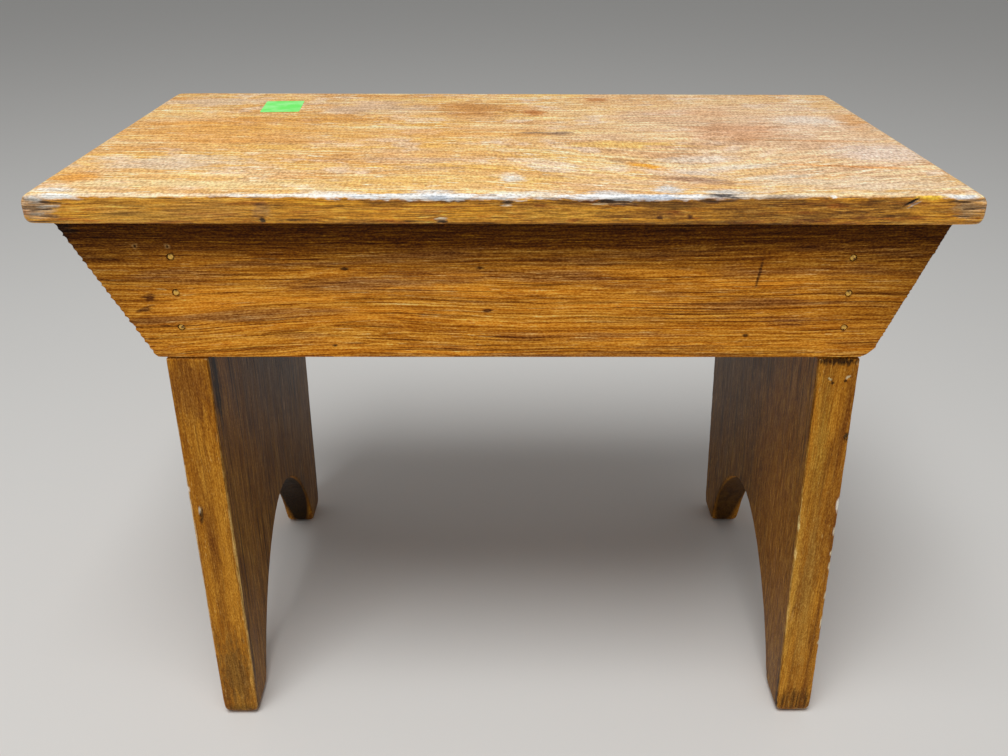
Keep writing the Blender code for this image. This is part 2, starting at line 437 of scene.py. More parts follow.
    def patches(self, tree: bpy.types.NodeTree, flow: bpy.types.Node, grit: bpy.types.Node,
                colour: bpy.types.Node, side: bpy.types.Node | None) -> tuple[bpy.types.Node, bpy.types.Node]:
        """Lays the fields of patches, where the varnish glows, has gone dull or is rubbed to a haze.

        Args:
            tree: The material's node tree.
            flow: The bent point in mm along, across and through the board.
            grit: A fine field that breaks up the scuffed ones.
            colour: The colour so far.
            side: Where the board has its other side, or None.

        Returns:
            The colour and the roughness.
        """
        rough = add(tree, "Math", grit, 0.16, self.gloss, operation="MULTIPLY_ADD")
        first = add(tree, "Math", 1.0, side, operation="SUBTRACT") if side else None
        for veil in self.veils:
            patch = mottle(tree, flow, veil.size, veil.detail, veil.shift)
            share = add(tree, "MapRange", patch, veil.start, veil.full, 0.0, veil.share)
            where = {Side.FIRST: first, Side.OTHER: side}.get(veil.side)
            for limit in (where, grit if veil.gritty else None):
                if limit:
                    share = add(tree, "Math", share, limit, operation="MULTIPLY")
            if veil.gritty:
                rough = add(tree, "Math", share, 0.35, rough, operation="MULTIPLY_ADD")
            colour = add(tree, "Mix", share, colour, linear(veil.colour), data_type="RGBA")
        return colour, rough

    def lay_marks_and_painted_light(self, tree: bpy.types.NodeTree, place: bpy.types.Node, grit: bpy.types.Node,
               colour: bpy.types.Node) -> bpy.types.Node:
        """Lays the board's own marks on it, with painted shade, shadows, light and highlights among them,
        each with a ragged edge unless its rim is clean.

        Args:
            tree: The material's node tree.
            place: The point on the bench in mm.
            grit: A fine field that breaks up the gritty marks.
            colour: The colour so far.

        Returns:
            The colour with the marks.
        """
        if not self.marks:
            return colour
        along = add(tree, "Mapping", place, None, self.grain.value)
        frays = {}
        for rim in (Rim.RAGGED, Rim.LOOSE):
            long, short, reach = rim.value
            ragged = mottle(tree, along, (long, short, short), 4.0).outputs["Color"]
            frays[rim] = add(tree, "VectorMath", ragged, (reach,) * 3, (-reach / 2,) * 3,
                             operation="MULTIPLY_ADD")
        for mark in self.marks:
            spot, middle = place, mark.at
            if any(mark.turn):
                turn = tuple(math.radians(a) for a in mark.turn)
                spot = add(tree, "Mapping", place, mark.at, turn, vector_type="TEXTURE")
                middle = (0.0, 0.0, 0.0)
            start = tuple(-m / h for m, h in zip(middle, mark.half))
            if mark.rim in frays:
                start = add(tree, "VectorMath", frays[mark.rim], start, operation="ADD")
            spot = add(tree, "VectorMath", spot, tuple(1 / h for h in mark.half), start,
                       operation="MULTIPLY_ADD")
            far = add(tree, "VectorMath", spot, operation="LENGTH")
            share = add(tree, "MapRange", far, 1.0, mark.core, 0.0, mark.strength)
            if mark.gritty:
                share = add(tree, "Math", share, grit, operation="MULTIPLY")
            colour = add(tree, "Mix", share, colour, linear(mark.colour), data_type="RGBA")
        return colour

    def worn_edges(self, tree: bpy.types.NodeTree, board: bpy.types.Node, colour: bpy.types.Node,
                   rough: bpy.types.Node) -> tuple[bpy.types.Node, bpy.types.Node]:
        """Bares the wood along worn arrises and in chips, by the board's own wear and chip attributes.

        Args:
            tree: The material's node tree.
            board: The point in mm along, across and through the board.
            colour: The colour so far.
            rough: The roughness so far.

        Returns:
            The colour and the roughness.
        """
        patch = mottle(tree, board, (22.0, 2.5, 2.5), 3.0)
        wear = add(tree, "Attribute", attribute_name="wear").outputs["Fac"]
        chip = add(tree, "Attribute", attribute_name="chip").outputs["Fac"]
        worn = add(tree, "Math", patch, 0.9, add(tree, "Math", wear, 0.45, operation="SUBTRACT"),
                   operation="MULTIPLY_ADD")
        worn = add(tree, "MapRange", worn, 0.50, 0.72, 0.0, self.bare_share)
        raw = add(tree, "MapRange", chip, 0.35, 0.8, 0.0, 0.4)
        worn = add(tree, "Math", worn, raw, operation="MAXIMUM")
        colour = add(tree, "Mix", worn, colour, linear(self.bare), data_type="RGBA")
        rough = add(tree, "Mix", worn, rough, 0.62, data_type="FLOAT")
        return colour, rough


@dataclass(frozen=True)
class NailSteel:
    """Drawn wire nail, its head varnished over, so the steel shines through dull gold with grime round it."""

    name: str = "wire_nail_steel_varnished"
    metal: str = "#F4BE50"
    grime: str = "#5A3812"

    def material(self) -> bpy.types.Material:
        """Builds the nails' material.

        Returns:
            The material.
        """
        material, tree = new_tree(self.name)
        place = place_in_mm(tree)
        spots = add(tree, "MapRange", mottle(tree, place, (1.1, 1.1, 1.1), 3.0), 0.46, 0.66)
        colour = add(tree, "Mix", spots, linear(self.metal), linear(self.grime), data_type="RGBA")
        rough = add(tree, "MapRange", spots, 0.0, 1.0, 0.32, 0.6)
        bump = add(tree, "Bump", {"Strength": 0.4, "Distance": 0.1 * MM, "Height": spots})
        shader = add(tree, "BsdfPrincipled", {"Base Color": colour, "Roughness": rough, "Normal": bump,
                                              "Metallic": 0.15})
        add(tree, "OutputMaterial", shader)
        return material


@dataclass(frozen=True)
class LabelPaper:
    """Coated paper label, printed all over in one bright green, so it is flat, even and faintly fibrous."""

    name: str = "label_paper_green"
    ink: str = "#74F56B"
    faded: str = "#A2FF98"

    def material(self) -> bpy.types.Material:
        """Builds the label's material.

        Returns:
            The material.
        """
        material, tree = new_tree(self.name)
        place = place_in_mm(tree)
        share = add(tree, "MapRange", mottle(tree, place, (9.0, 9.0, 9.0), 3.0), 0.35, 0.65)
        colour = add(tree, "Mix", share, linear(self.ink), linear(self.faded), data_type="RGBA")
        # Paper's own fibres are too fine to show, so they are drawn coarser than they are.
        fluff = mottle(tree, place, (0.6, 0.6, 0.6), 2.0)
        bump = add(tree, "Bump", {"Strength": 0.1, "Distance": 0.02 * MM, "Height": fluff})
        rough = add(tree, "MapRange", fluff, 0.3, 0.7, 0.5, 0.62)
        shader = add(tree, "BsdfPrincipled", {"Base Color": colour, "Roughness": rough, "Normal": bump})
        add(tree, "OutputMaterial", shader)
        return material


def alone(piece: bpy.types.Object) -> None:
    """Makes one object the only one selected, and the active one."""
    bpy.ops.object.select_all(action="DESELECT")
    piece.select_set(True)
    bpy.context.view_layer.objects.active = piece


def settle() -> None:
    """Puts the selected object's place, turn and size into its mesh."""
    bpy.ops.object.transform_apply(location=True, rotation=True, scale=True)


def start_block(name: str, low: Triple, high: Triple) -> bpy.types.Object:
    """Adds a block at its size and place, with its object at the origin.

    Args:
        name: What the object is called.
        low: Its lowest corner in mm.
        high: Its highest corner in mm.

    Returns:
        The block.
    """
    bpy.ops.object.select_all(action="DESELECT")
    middle = [(a + b) / 2 * MM for a, b in zip(low, high)]
    size = [(b - a) * MM for a, b in zip(low, high)]
    bpy.ops.mesh.primitive_cube_add(size=1.0, location=middle, scale=size)
    block = bpy.context.active_object
    settle()
    block.name = name
    block.data.name = name
    return block


def pick(piece: bpy.types.Object, kind: Pick, test: Callable[[list[Vector]], bool]) -> None:
    """Goes into edit mode and selects what passes a test of its points, given in mm.

    Args:
        piece: The active object.
        kind: Points, edges or faces.
        test: Says of the places of one element's points whether it is wanted.
    """
    bpy.ops.object.mode_set(mode="EDIT")
    bpy.ops.mesh.select_all(action="DESELECT")
    bpy.ops.mesh.select_mode(type=kind.value)
    mesh = bmesh.from_edit_mesh(piece.data)
    parts = {Pick.POINTS: mesh.verts, Pick.EDGES: mesh.edges, Pick.FACES: mesh.faces}[kind]
    for part in parts:
        points = [part] if kind is Pick.POINTS else part.verts
        part.select = test([v.co / MM for v in points])
    mesh.select_flush_mode()
    bmesh.update_edit_mesh(piece.data)


def done() -> None:
    """Leaves edit mode."""
    bpy.ops.object.mode_set(mode="OBJECT")


def finish_with(piece: bpy.types.Object, kind: str, **settings: object) -> None:
    """Puts a modifier on an object and applies it.

    Args:
        piece: The object.
        kind: The modifier's type.
        settings: Its properties.
    """
    alone(piece)
    modifier = piece.modifiers.new(kind.lower(), kind)
    for name, value in settings.items():
        setattr(modifier, name, value)
    bpy.ops.object.modifier_apply(modifier=modifier.name)


def points_of(piece: bpy.types.Object, normals: bool = False) -> np.ndarray:
    """Reads a mesh's points, or its normals at them.

    Args:
        piece: The object.
        normals: Whether the normals are wanted.

    Returns:
        One row of three for each point.
    """
    points = np.empty(len(piece.data.vertices) * 3, np.float32)
    if normals:
        piece.data.vertex_normals.foreach_get("vector", points)
    else:
        piece.data.vertices.foreach_get("co", points)
    return points.reshape(-1, 3)


def sharpness(piece: bpy.types.Object, rounds: int, full: float) -> np.ndarray:
    """Measures how far each point stands out as an arris, against a smoothed copy of its mesh.

    Args:
        piece: The object.
        rounds: How often the copy is smoothed.
        full: The distance in mm that counts as 1.

    Returns:
        A number from 0 to 1 for each point.
    """
    alone(piece)
    bpy.ops.object.duplicate()
    smooth = bpy.context.active_object
    finish_with(smooth, "SMOOTH", factor=SMOOTHING, iterations=rounds)
    drop = ((points_of(piece) - points_of(smooth)) * points_of(piece, normals=True)).sum(axis=1)
    bpy.data.objects.remove(smooth)
    return np.clip(drop / (full * MM), 0.0, 1.0)


def weigh(piece: bpy.types.Object, shares: np.ndarray) -> str:
    """Gives a mesh one vertex group with a share for each point.

    Args:
        piece: The object.
        shares: A number from 0 to 1 for each point.

    Returns:
        The group's name.
    """
    group = piece.vertex_groups.new(name="shares")
    for index in np.nonzero(shares > 0.02)[0]:
        group.add([int(index)], float(shares[index]), "REPLACE")
    return group.name


def smooth_by(piece: bpy.types.Object, shares: np.ndarray, rounds: int) -> None:
    """Smooths a mesh more in some places than in others.

    Args:
        piece: The object.
        shares: How much, from 0 to 1, for each point.
        rounds: How often.
    """
    finish_with(piece, "SMOOTH", factor=SMOOTHING, iterations=rounds, vertex_group=weigh(piece, shares))
    piece.vertex_groups.clear()


def cut_out(piece: bpy.types.Object, cutters: list[bpy.types.Object], solver: str = "EXACT") -> None:
    """Takes some solids out of a board, and clears them away.

    Args:
        piece: The board.
        cutters: The solids.
        solver: The boolean's way of working; MANIFOLD is the quick one for a dense mesh.
    """
    heap = bpy.data.collections.new("cutters")
    for cutter in cutters:
        heap.objects.link(cutter)
    finish_with(piece, "BOOLEAN", operation="DIFFERENCE", operand_type="COLLECTION", collection=heap,
                solver=solver)
    for cutter in cutters:
        bpy.data.objects.remove(cutter)
    bpy.data.collections.remove(heap)


def keep_field(piece: bpy.types.Object, name: str, values: np.ndarray) -> None:
    """Stores one number for each point on a mesh, for its material to read.

    Args:
        piece: The object.
        name: The attribute's name.
        values: The numbers.
    """
    layer = piece.data.attributes.new(name, "FLOAT", "POINT")
    layer.data.foreach_set("value", values.astype(np.float32))


@dataclass
class Board:
    """A plank that is shaped, knocked about and varnished; its kinds say how they are shaped."""

    node: str
    slot: str
    finish: VarnishedPine
    gouges: tuple[Gouge, ...] = ()
    voxel: float = 0.9
    most_faces: int = 185000
    wear_depth: float = 0.22
    wear_length: Triple = (26.0, 6.0, 6.0)
    rub_area: float = 6.0
    rub_full: float = 0.45
    lumps: float = 0.18
    seed: int = 1

    def blank(self) -> bpy.types.Object:
        """Shapes the clean board; each kind of board has its own way."""
        raise NotImplementedError

    def build(self) -> bpy.types.Object:
        """Makes the board, from clean plank to worn and varnished piece.

        Returns:
            The piece.
        """
        piece = self.blank()
        clean = BVHTree.FromPolygons([v.co.copy() for v in piece.data.vertices],
                                     [tuple(p.vertices) for p in piece.data.polygons])
        finish_with(piece, "REMESH", mode="VOXEL", voxel_size=self.voxel * MM)
        if self.gouges:
            cut_out(piece, [self.knock(g, i) for i, g in enumerate(self.gouges)], "MANIFOLD")
        finish_with(piece, "SMOOTH", factor=SMOOTHING, iterations=1)
        self.round_off(piece)
        self.wear(piece)
        keep_field(piece, "wear", sharpness(piece, round(self.rub_area / self.voxel ** 2), self.rub_full))
        finish_with(piece, "DECIMATE", ratio=min(1.0, self.most_faces / (2 * len(piece.data.polygons))))
        self.pierce(piece)
        depth = [clean.find_nearest(v.co)[3] / MM for v in piece.data.vertices]
        keep_field(piece, "chip", np.array(depth))
        alone(piece)
        bpy.ops.object.shade_smooth_by_angle(angle=BOARD_CREASE)
        self.dress(piece)
        return piece

    def knock(self, gouge: Gouge, place: int) -> bpy.types.Object:
        """Makes the cutter of one gouge, a lumpy oval.

        Args:
            gouge: Where and how large it is.
            place: Its place in the list, which also seeds its lumps.

        Returns:
            The cutter.
        """
        bpy.ops.object.select_all(action="DESELECT")
        bpy.ops.mesh.primitive_ico_sphere_add(subdivisions=2, radius=1.0)
        cutter = bpy.context.active_object
        bpy.ops.object.mode_set(mode="EDIT")
        bpy.ops.transform.vertex_random(offset=self.lumps, seed=self.seed * 100 + place)
        done()
        cutter.scale = [h * MM for h in gouge.half]
        cutter.rotation_euler = [math.radians(a) for a in gouge.turn]
        cutter.location = [a * MM for a in gouge.at]
        settle()
        return cutter

    def wear(self, piece: bpy.types.Object) -> None:
        """Rubs the arrises down unevenly, in stretches that follow the grain.

        Args:
            piece: The board.
        """
        arris = weigh(piece, sharpness(piece, 10, 0.5))
        bpy.ops.object.empty_add(location=(0.37 * self.seed, 0.11, 0.23))
        ruler = bpy.context.active_object
        ruler.scale = [s * MM for s in self.wear_length]
        bpy.context.view_layer.update()
        cloud = bpy.data.textures.new("arris_wear", "CLOUDS")
        cloud.noise_scale = 1.0
        cloud.noise_depth = 2
        finish_with(piece, "DISPLACE", texture=cloud, texture_coords="OBJECT", texture_coords_object=ruler,
                    direction="NORMAL", strength=-2.0 * self.wear_depth * MM, mid_level=0.3,
                    vertex_group=arris)
        bpy.data.objects.remove(ruler)
        bpy.data.textures.remove(cloud)
        piece.vertex_groups.clear()

    def round_off(self, piece: bpy.types.Object) -> None:
        """Wears the board's corners to a round, where it has such corners."""

    def pierce(self, piece: bpy.types.Object) -> None:
        """Bores what the board is bored for, which most boards aren't."""

    def dress(self, piece: bpy.types.Object) -> None:
        """Varnishes the board and ties it to the frame.

        Args:
            piece: The board.
        """
        piece.data.materials.clear()
        piece.data.materials.append(self.finish.material())
        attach(piece, "root")
        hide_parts(self.node)
        LOG.info("%s: %d faces", piece.name, len(piece.data.polygons))


@dataclass
class SeatBoard(Board):
    """The plank that is sat on, its ends and corners worn round."""

    length: float = 399.8
    width: float = 215.8
    top: float = 299.8
    under: float = 287.0
    upper_end: float = 4.0
    lower_end: float = 2.6
    corner_reach: float = 18.0
    corner_rounds: int = 18
    arris: float = 1.3

    def blank(self) -> bpy.types.Object:
        """Shapes the clean plank.

        Returns:
            The plank.
        """
        x, y = self.length / 2, self.width / 2
        piece = start_block("seat_plank", (-x, -y, self.under), (x, y, self.top))
        for level, radius in ((self.top, self.upper_end), (self.under, self.lower_end)):
            pick(piece, Pick.EDGES, lambda p, z=level: all(abs(q.z - z) < NEAR for q in p)
                 and abs(p[0].x - p[1].x) < NEAR)
            bpy.ops.mesh.bevel(offset=radius * MM, segments=5, affect="EDGES")
        pick(piece, Pick.EDGES, lambda p: all(abs(abs(q.y) - y) < NEAR for q in p) and p[0].y * p[1].y > 0)
        bpy.ops.mesh.bevel(offset=self.arris * MM, segments=3, affect="EDGES")
        done()
        return piece

    def round_off(self, piece: bpy.types.Object) -> None:
        """Wears the four corners to a round.

        Args:
            piece: The plank.
        """
        away = np.abs(points_of(piece)[:, :2] / MM) - (self.length / 2, self.width / 2)
        smooth_by(piece, np.clip(1.15 + away.sum(axis=1) / self.corner_reach, 0.0, 1.0), self.corner_rounds)


@dataclass
class Apron(Board):
    """A side board with sawn, sloping ends, nailed to both legs."""

    outer: float = -102.0
    thickness: float = 13.0
    low: float = 222.7
    high: float = 286.7
    upper_left: float = -191.3
    upper_right: float = 190.2
    lower_left: float = -157.5
    lower_right: float = 165.5
    left_corner: float = 4.0
    right_corner: float = 11.0
    left_teeth: int = 21
    right_teeth: int = 33
    left_bite: float = 1.0
    right_bite: float = 0.5
    arris: float = 0.9
    nails: tuple[tuple[float, float], ...] = ()
    nail_hole: float = 1.65
    hole_depth: float = 1.6

    def blank(self) -> bpy.types.Object:
        """Shapes the clean board, with the saw's teeth left on its ends.

        Returns:
            The board.
        """
        inward = 1 if self.outer < 0 else -1
        low_y, high_y = sorted((self.outer, self.outer + inward * self.thickness))
        left, right = self.upper_left, self.upper_right
        piece = start_block(self.node + "_board", (left, low_y, self.low), (right, high_y, self.high))
        for x, goal in ((left, self.lower_left), (right, self.lower_right)):
            pick(piece, Pick.POINTS, lambda p, x=x: abs(p[0].x - x) < 0.1 and p[0].z < self.low + 1)
            bpy.ops.transform.translate(value=((goal - x) * MM, 0, 0))
        for x, radius in ((self.lower_left, self.left_corner), (self.lower_right, self.right_corner)):
            pick(piece, Pick.EDGES, lambda p, x=x: all(abs(q.x - x) < 0.1 and q.z < self.low + 1 for q in p))
            bpy.ops.mesh.bevel(offset=radius * MM * 0.6, segments=5, affect="EDGES")
        pick(piece, Pick.EDGES, lambda p: abs(p[0].x - p[1].x) > 200)
        bpy.ops.mesh.bevel(offset=self.arris * MM, segments=2, affect="EDGES")
        self.saw(piece, -1, self.left_teeth, self.left_bite)
        self.saw(piece, 1, self.right_teeth, self.right_bite)
        done()
        return piece

    def saw(self, piece: bpy.types.Object, end: int, teeth: int, bite: float) -> None:
        """Leaves the saw's tooth marks on one sloping end.

        Args:
            piece: The board.
            end: -1 for the left end, 1 for the right.
            teeth: How many marks there are.
            bite: How deep they are, in mm.
        """
        pick(piece, Pick.EDGES, lambda p: all(q.x * end > 100 for q in p) and abs(p[0].z - p[1].z) > 25)
        bpy.ops.mesh.subdivide(number_cuts=2 * teeth)
        mesh = bmesh.from_edit_mesh(piece.data)
        levels = sorted({round(v.co.z / MM, 2) for v in mesh.verts if v.select})
        for vert in mesh.verts:
            odd = vert.select and levels.index(round(vert.co.z / MM, 2)) % 2 == 1
            vert.select = odd
        mesh.select_flush(False)
        bmesh.update_edit_mesh(piece.data)
        bpy.ops.transform.translate(value=(-end * bite * MM, 0, 0))

    def pierce(self, piece: bpy.types.Object) -> None:
        """Sinks a round hole for each nail's head into the outer face.

        Args:
            piece: The board.
        """
        drills = []
        for x, z in self.nails:
            bpy.ops.object.select_all(action="DESELECT")
            bpy.ops.mesh.primitive_cylinder_add(vertices=NAIL_SIDES, radius=self.nail_hole * MM,
                                                depth=2 * self.hole_depth * MM,
                                                location=(x * MM, self.outer * MM, z * MM),
                                                rotation=(math.pi / 2, 0, 0))
            settle()
            drills.append(bpy.context.active_object)
        cut_out(piece, drills, "MANIFOLD")


@dataclass
class LegBoard(Board):
    """A splayed leg board: notched for the aprons, its foot cut to an arch."""

    outer_top: float = -153.7
    thickness: float = 19.0
    splay: float = -0.01047
    splay_from: float = 222.7
    half_width: float = 101.9
    tongue: float = 88.7
    sole: float = 0.15
    shoulder: float = 222.4
    high: float = 286.7
    foot_arris: float = 4.0
    foot_reach: float = 9.0
    foot_rounds: int = 32
    arris: float = 1.0
    arch: tuple[tuple[float, float], ...] = ((79.0, 0.0), (69.0, 38.0), (34.0, 82.0), (0.0, 82.0))
    arch_under: float = -9.0
    arch_level: float = 40.0
    arch_depth: float = 40.0

    def middle(self, level: float) -> float:
        """Gives the leg's mid-plane at a height, in mm."""
        inward = 1 if self.outer_top < 0 else -1
        return self.outer_top + inward * self.thickness / 2 + self.splay * (self.splay_from - level)

    def blank(self) -> bpy.types.Object:
        """Shapes the clean board.

        Returns:
            The board.
        """
        half, at = self.thickness / 2, self.middle(self.shoulder)
        piece = start_block(self.node + "_board", (at - half, -self.half_width, self.sole),
                            (at + half, self.half_width, self.shoulder))
        pick(piece, Pick.POINTS, lambda p: p[0].z < 1)
        bpy.ops.transform.translate(value=((self.middle(0) - at) * MM, 0, 0))
        for y in (-self.tongue, self.tongue):
            bpy.ops.mesh.select_all(action="SELECT")
            bpy.ops.mesh.bisect(plane_co=(0, y * MM, 0), plane_no=(0, 1, 0))
        pick(piece, Pick.FACES,
             lambda p: all(q.z > self.shoulder - 1 and abs(q.y) < self.tongue + 1 for q in p))
        rise = ((self.middle(self.high) - at) * MM, 0, (self.high - self.shoulder) * MM)
        bpy.ops.mesh.extrude_region_move(TRANSFORM_OT_translate={"value": rise})
        done()
        cut_out(piece, [self.arch_cutter()])
        alone(piece)
        pick(piece, Pick.EDGES, lambda p: all(q.z < self.sole + NEAR for q in p))
        bpy.ops.mesh.bevel(offset=self.foot_arris * MM, segments=3, affect="EDGES")
        done()
        finish_with(piece, "BEVEL", width=self.arris * MM, segments=2, limit_method="ANGLE",
                    angle_limit=BOARD_CREASE)
        return piece

    def round_off(self, piece: bpy.types.Object) -> None:
        """Wears the feet to a round.

        Args:
            piece: The board.
        """
        near = np.clip(1.2 - points_of(piece)[:, 2] / MM / self.foot_reach, 0.0, 1.0)
        smooth_by(piece, near, self.foot_rounds)

    def arch_cutter(self) -> bpy.types.Object:
        """Shapes the solid that cuts the foot's arch.

        Returns:
            The cutter.
        """
        foot, low_handle, high_handle, crown = self.arch
        bpy.ops.object.select_all(action="DESELECT")
        bpy.ops.curve.primitive_bezier_curve_add()
        outline = bpy.context.active_object
        outline.data.dimensions = "2D"
        outline.data.fill_mode = "BOTH"
        outline.data.extrude = self.arch_depth * MM
        outline.data.resolution_u = 24
        spline = outline.data.splines[0]
        spline.bezier_points.add(3)
        spline.use_cyclic_u = True
        knots = [
            *(((x, self.arch_under),) * 3 for x in (-foot[0], foot[0])),
            (foot, foot, low_handle),
            (crown, high_handle, (-high_handle[0], high_handle[1])),
            ((-foot[0], 0), (-low_handle[0], low_handle[1]), (-foot[0], 0)),
        ]
        for point, (at, before, after) in zip(spline.bezier_points, knots):
            point.handle_left_type = point.handle_right_type = "FREE"
            point.co = (at[0] * MM, at[1] * MM, 0)
            point.handle_left = (before[0] * MM, before[1] * MM, 0)
            point.handle_right = (after[0] * MM, after[1] * MM, 0)
        bpy.ops.object.convert(target="MESH")
        cutter = bpy.context.active_object
        at = self.middle(self.arch_level) * MM
        cutter.matrix_world = Matrix(((0, 0, 1, at), (1, 0, 0, 0), (0, 1, 0, 0), (0, 0, 0, 1)))
        settle()
        bpy.ops.object.mode_set(mode="EDIT")
        bpy.ops.mesh.select_all(action="SELECT")
        bpy.ops.mesh.remove_doubles(threshold=NEAR * MM)
        bpy.ops.mesh.normals_make_consistent(inside=False)
        done()
        return cutter


@dataclass
class ApronNails:
    """The wire nails that hold the aprons to the legs; only their heads show."""

    finish: NailSteel
    slot: str
    places: dict[str, Triple]
    head: float = 1.35
    shank: float = 0.9
    length: float = 36.0
    cap: float = 1.0

    def pattern(self) -> bpy.types.Object:
        """Models one nail on the Z axis, its head's face at the origin.

        Returns:
            The nail.
        """
        bpy.ops.object.select_all(action="DESELECT")
        bpy.ops.mesh.primitive_cylinder_add(vertices=NAIL_SIDES, radius=self.shank * MM,
                                            depth=self.length * MM,
                                            location=(0, 0, -(self.length / 2 + self.cap) * MM))
        nail = bpy.context.active_object
        settle()
        wider = self.head / self.shank
        pick(nail, Pick.FACES, lambda p: all(q.z > -self.cap - 0.1 for q in p))
        bpy.ops.mesh.extrude_region_move(TRANSFORM_OT_translate={"value": (0, 0, 0)})
        bpy.ops.transform.resize(value=(wider, wider, 1))
        bpy.ops.mesh.extrude_region_move(TRANSFORM_OT_translate={"value": (0, 0, 0.75 * self.cap * MM)})
        bpy.ops.mesh.extrude_region_move(TRANSFORM_OT_translate={"value": (0, 0, 0.2 * self.cap * MM)})
        bpy.ops.transform.resize(value=(0.82, 0.82, 1))
        bpy.ops.mesh.inset(thickness=0.35 * MM)
        bpy.ops.transform.translate(value=(0, 0, -0.12 * MM))
        pick(nail, Pick.FACES, lambda p: all(q.z < -self.length for q in p))
        bpy.ops.mesh.extrude_region_move(TRANSFORM_OT_translate={"value": (0, 0, -1.0 * MM)})
        bpy.ops.transform.resize(value=(0.2, 0.2, 1))
        pick(nail, Pick.POINTS, lambda p: p[0].z > -0.9 * self.cap)
        bpy.ops.transform.vertex_random(offset=0.05 * MM, seed=4)
        done()
        return nail

    def build(self) -> list[bpy.types.Object]:
        """Drives a copy of the nail at each place.

        Returns:
            The nails.
        """
        pattern, finish, nails = self.pattern(), self.finish.material(), []
        for index, (node, (x, y, z)) in enumerate(self.places.items()):
            alone(pattern)
            bpy.ops.object.duplicate()
            nail = bpy.context.active_object
            nail.name = node + "_wire"
            facing = math.pi / 2 if y < 0 else -math.pi / 2
            turn = Matrix.Rotation(facing, 4, "X") @ Matrix.Rotation(1.1 * index, 4, "Z")
            nail.matrix_world = Matrix.Translation((x * MM, y * MM, z * MM)) @ turn
            settle()
            bpy.ops.object.shade_smooth_by_angle(angle=NAIL_CREASE)
            nail.data.materials.append(finish)
            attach(nail, "root")
            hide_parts(node)
            LOG.info("%s driven", nail.name)
            nails.append(nail)
        bpy.data.objects.remove(pattern)
        return nails


@dataclass
class PaperLabel:
    """A small blank paper label, stuck to the seat."""

    finish: LabelPaper
    at: tuple[float, float] = (-126.5, 67.6)
    size: tuple[float, float] = (21.6, 30.0)
    turn: float = 4.2
    under: float = 299.76
    thickness: float = 0.16
    corner: float = 1.2

    def build(self) -> bpy.types.Object:
        """Cuts the label and lays it on the seat.

        Returns:
            The label.
        """
        x, y = self.size[0] / 2, self.size[1] / 2
        piece = start_block("seat_label", (-x, -y, 0.0), (x, y, self.thickness))
        pick(piece, Pick.EDGES, lambda p: abs(p[0].z - p[1].z) > 0.05)
        bpy.ops.mesh.bevel(offset=self.corner * MM, segments=4, affect="EDGES")
        done()
        place = Matrix.Translation((self.at[0] * MM, self.at[1] * MM, self.under * MM))
        piece.matrix_world = place @ Matrix.Rotation(math.radians(self.turn), 4, "Z")
        alone(piece)
        settle()
        piece.data.materials.append(self.finish.material())
        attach(piece, "root")
        LOG.info("%s laid", piece.name)
        return piece


@dataclass
class Studio:
    """A pale floor, soft light and a camera where the photographer stood."""

    floor: str = "#DEDDDA"
    eye: Triple = (-3.97856, -486.18704, 411.83657)
    yaw: float = -0.00909
    pitch: float = 0.4788
    roll: float = 0.00439
    focal_px: float = 945.14975
    image_width: int = 1008
    sensor: float = 36.0
    sky: float = 0.28
    lamps: tuple[tuple[Triple, float, float], ...] = (
        ((-0.20, -0.66, 1.85), 0.9, 26.0),
    )

    def build(self) -> None:
        """Sets up floor, light and camera."""
        self.lay_floor()
        self.hang_lamps()
        self.place_camera()
        bpy.context.scene.view_settings.view_transform = "Standard"

    def lay_floor(self) -> None:
        """Lays the floor."""
        bpy.ops.object.select_all(action="DESELECT")
        bpy.ops.mesh.primitive_plane_add(size=24.0)
        floor = bpy.context.active_object
        floor.name = "studio_floor"
        material, tree = new_tree("studio_paper_pale")
        shader = add(tree, "BsdfPrincipled", {"Base Color": linear(self.floor), "Roughness": 0.9})
        add(tree, "OutputMaterial", shader)
        floor.data.materials.append(material)

    def hang_lamps(self) -> None:
        """Hangs the soft lamps, aimed at the bench, under an even pale sky."""
        world = bpy.data.worlds.new("studio_sky")
        bpy.context.scene.world = world
        world.use_nodes = True
        world.node_tree.nodes.clear()
        sky = add(world.node_tree, "Background", linear("#FFFFFF"), self.sky)
        add(world.node_tree, "OutputWorld", sky)
        for number, (spot, size, watts) in enumerate(self.lamps):
            light = bpy.data.lights.new(f"softbox_{number}", "AREA")
            light.shape = "SQUARE"
            light.size = size
            light.energy = watts
            lamp = bpy.data.objects.new(light.name, light)
            bpy.context.scene.collection.objects.link(lamp)
            lamp.location = spot
            lamp.rotation_euler = (Vector((0, 0, 0.2)) - Vector(spot)).to_track_quat("-Z", "Y").to_euler()

    def place_camera(self) -> None:
        """Puts the camera at the photograph's viewing angle."""
        ahead = Vector((-math.sin(self.yaw) * math.cos(self.pitch), math.cos(self.yaw) * math.cos(self.pitch),
                        -math.sin(self.pitch)))
        right = Vector((math.cos(self.yaw), math.sin(self.yaw), 0.0))
        up = right.cross(ahead)
        right, up = (math.cos(self.roll) * right + math.sin(self.roll) * up,
                     math.cos(self.roll) * up - math.sin(self.roll) * right)
        lens = bpy.data.cameras.new("photo_camera")
        lens.sensor_fit = "HORIZONTAL"
        lens.sensor_width = self.sensor
        lens.lens = self.sensor * self.focal_px / self.image_width
        lens.clip_start = 0.01
        camera = bpy.data.objects.new("photo_camera", lens)
        bpy.context.scene.collection.objects.link(camera)
        turn = Matrix((right, up, -ahead)).transposed().to_4x4()
        camera.matrix_world = Matrix.Translation([c * MM for c in self.eye]) @ turn
        bpy.context.scene.camera = camera


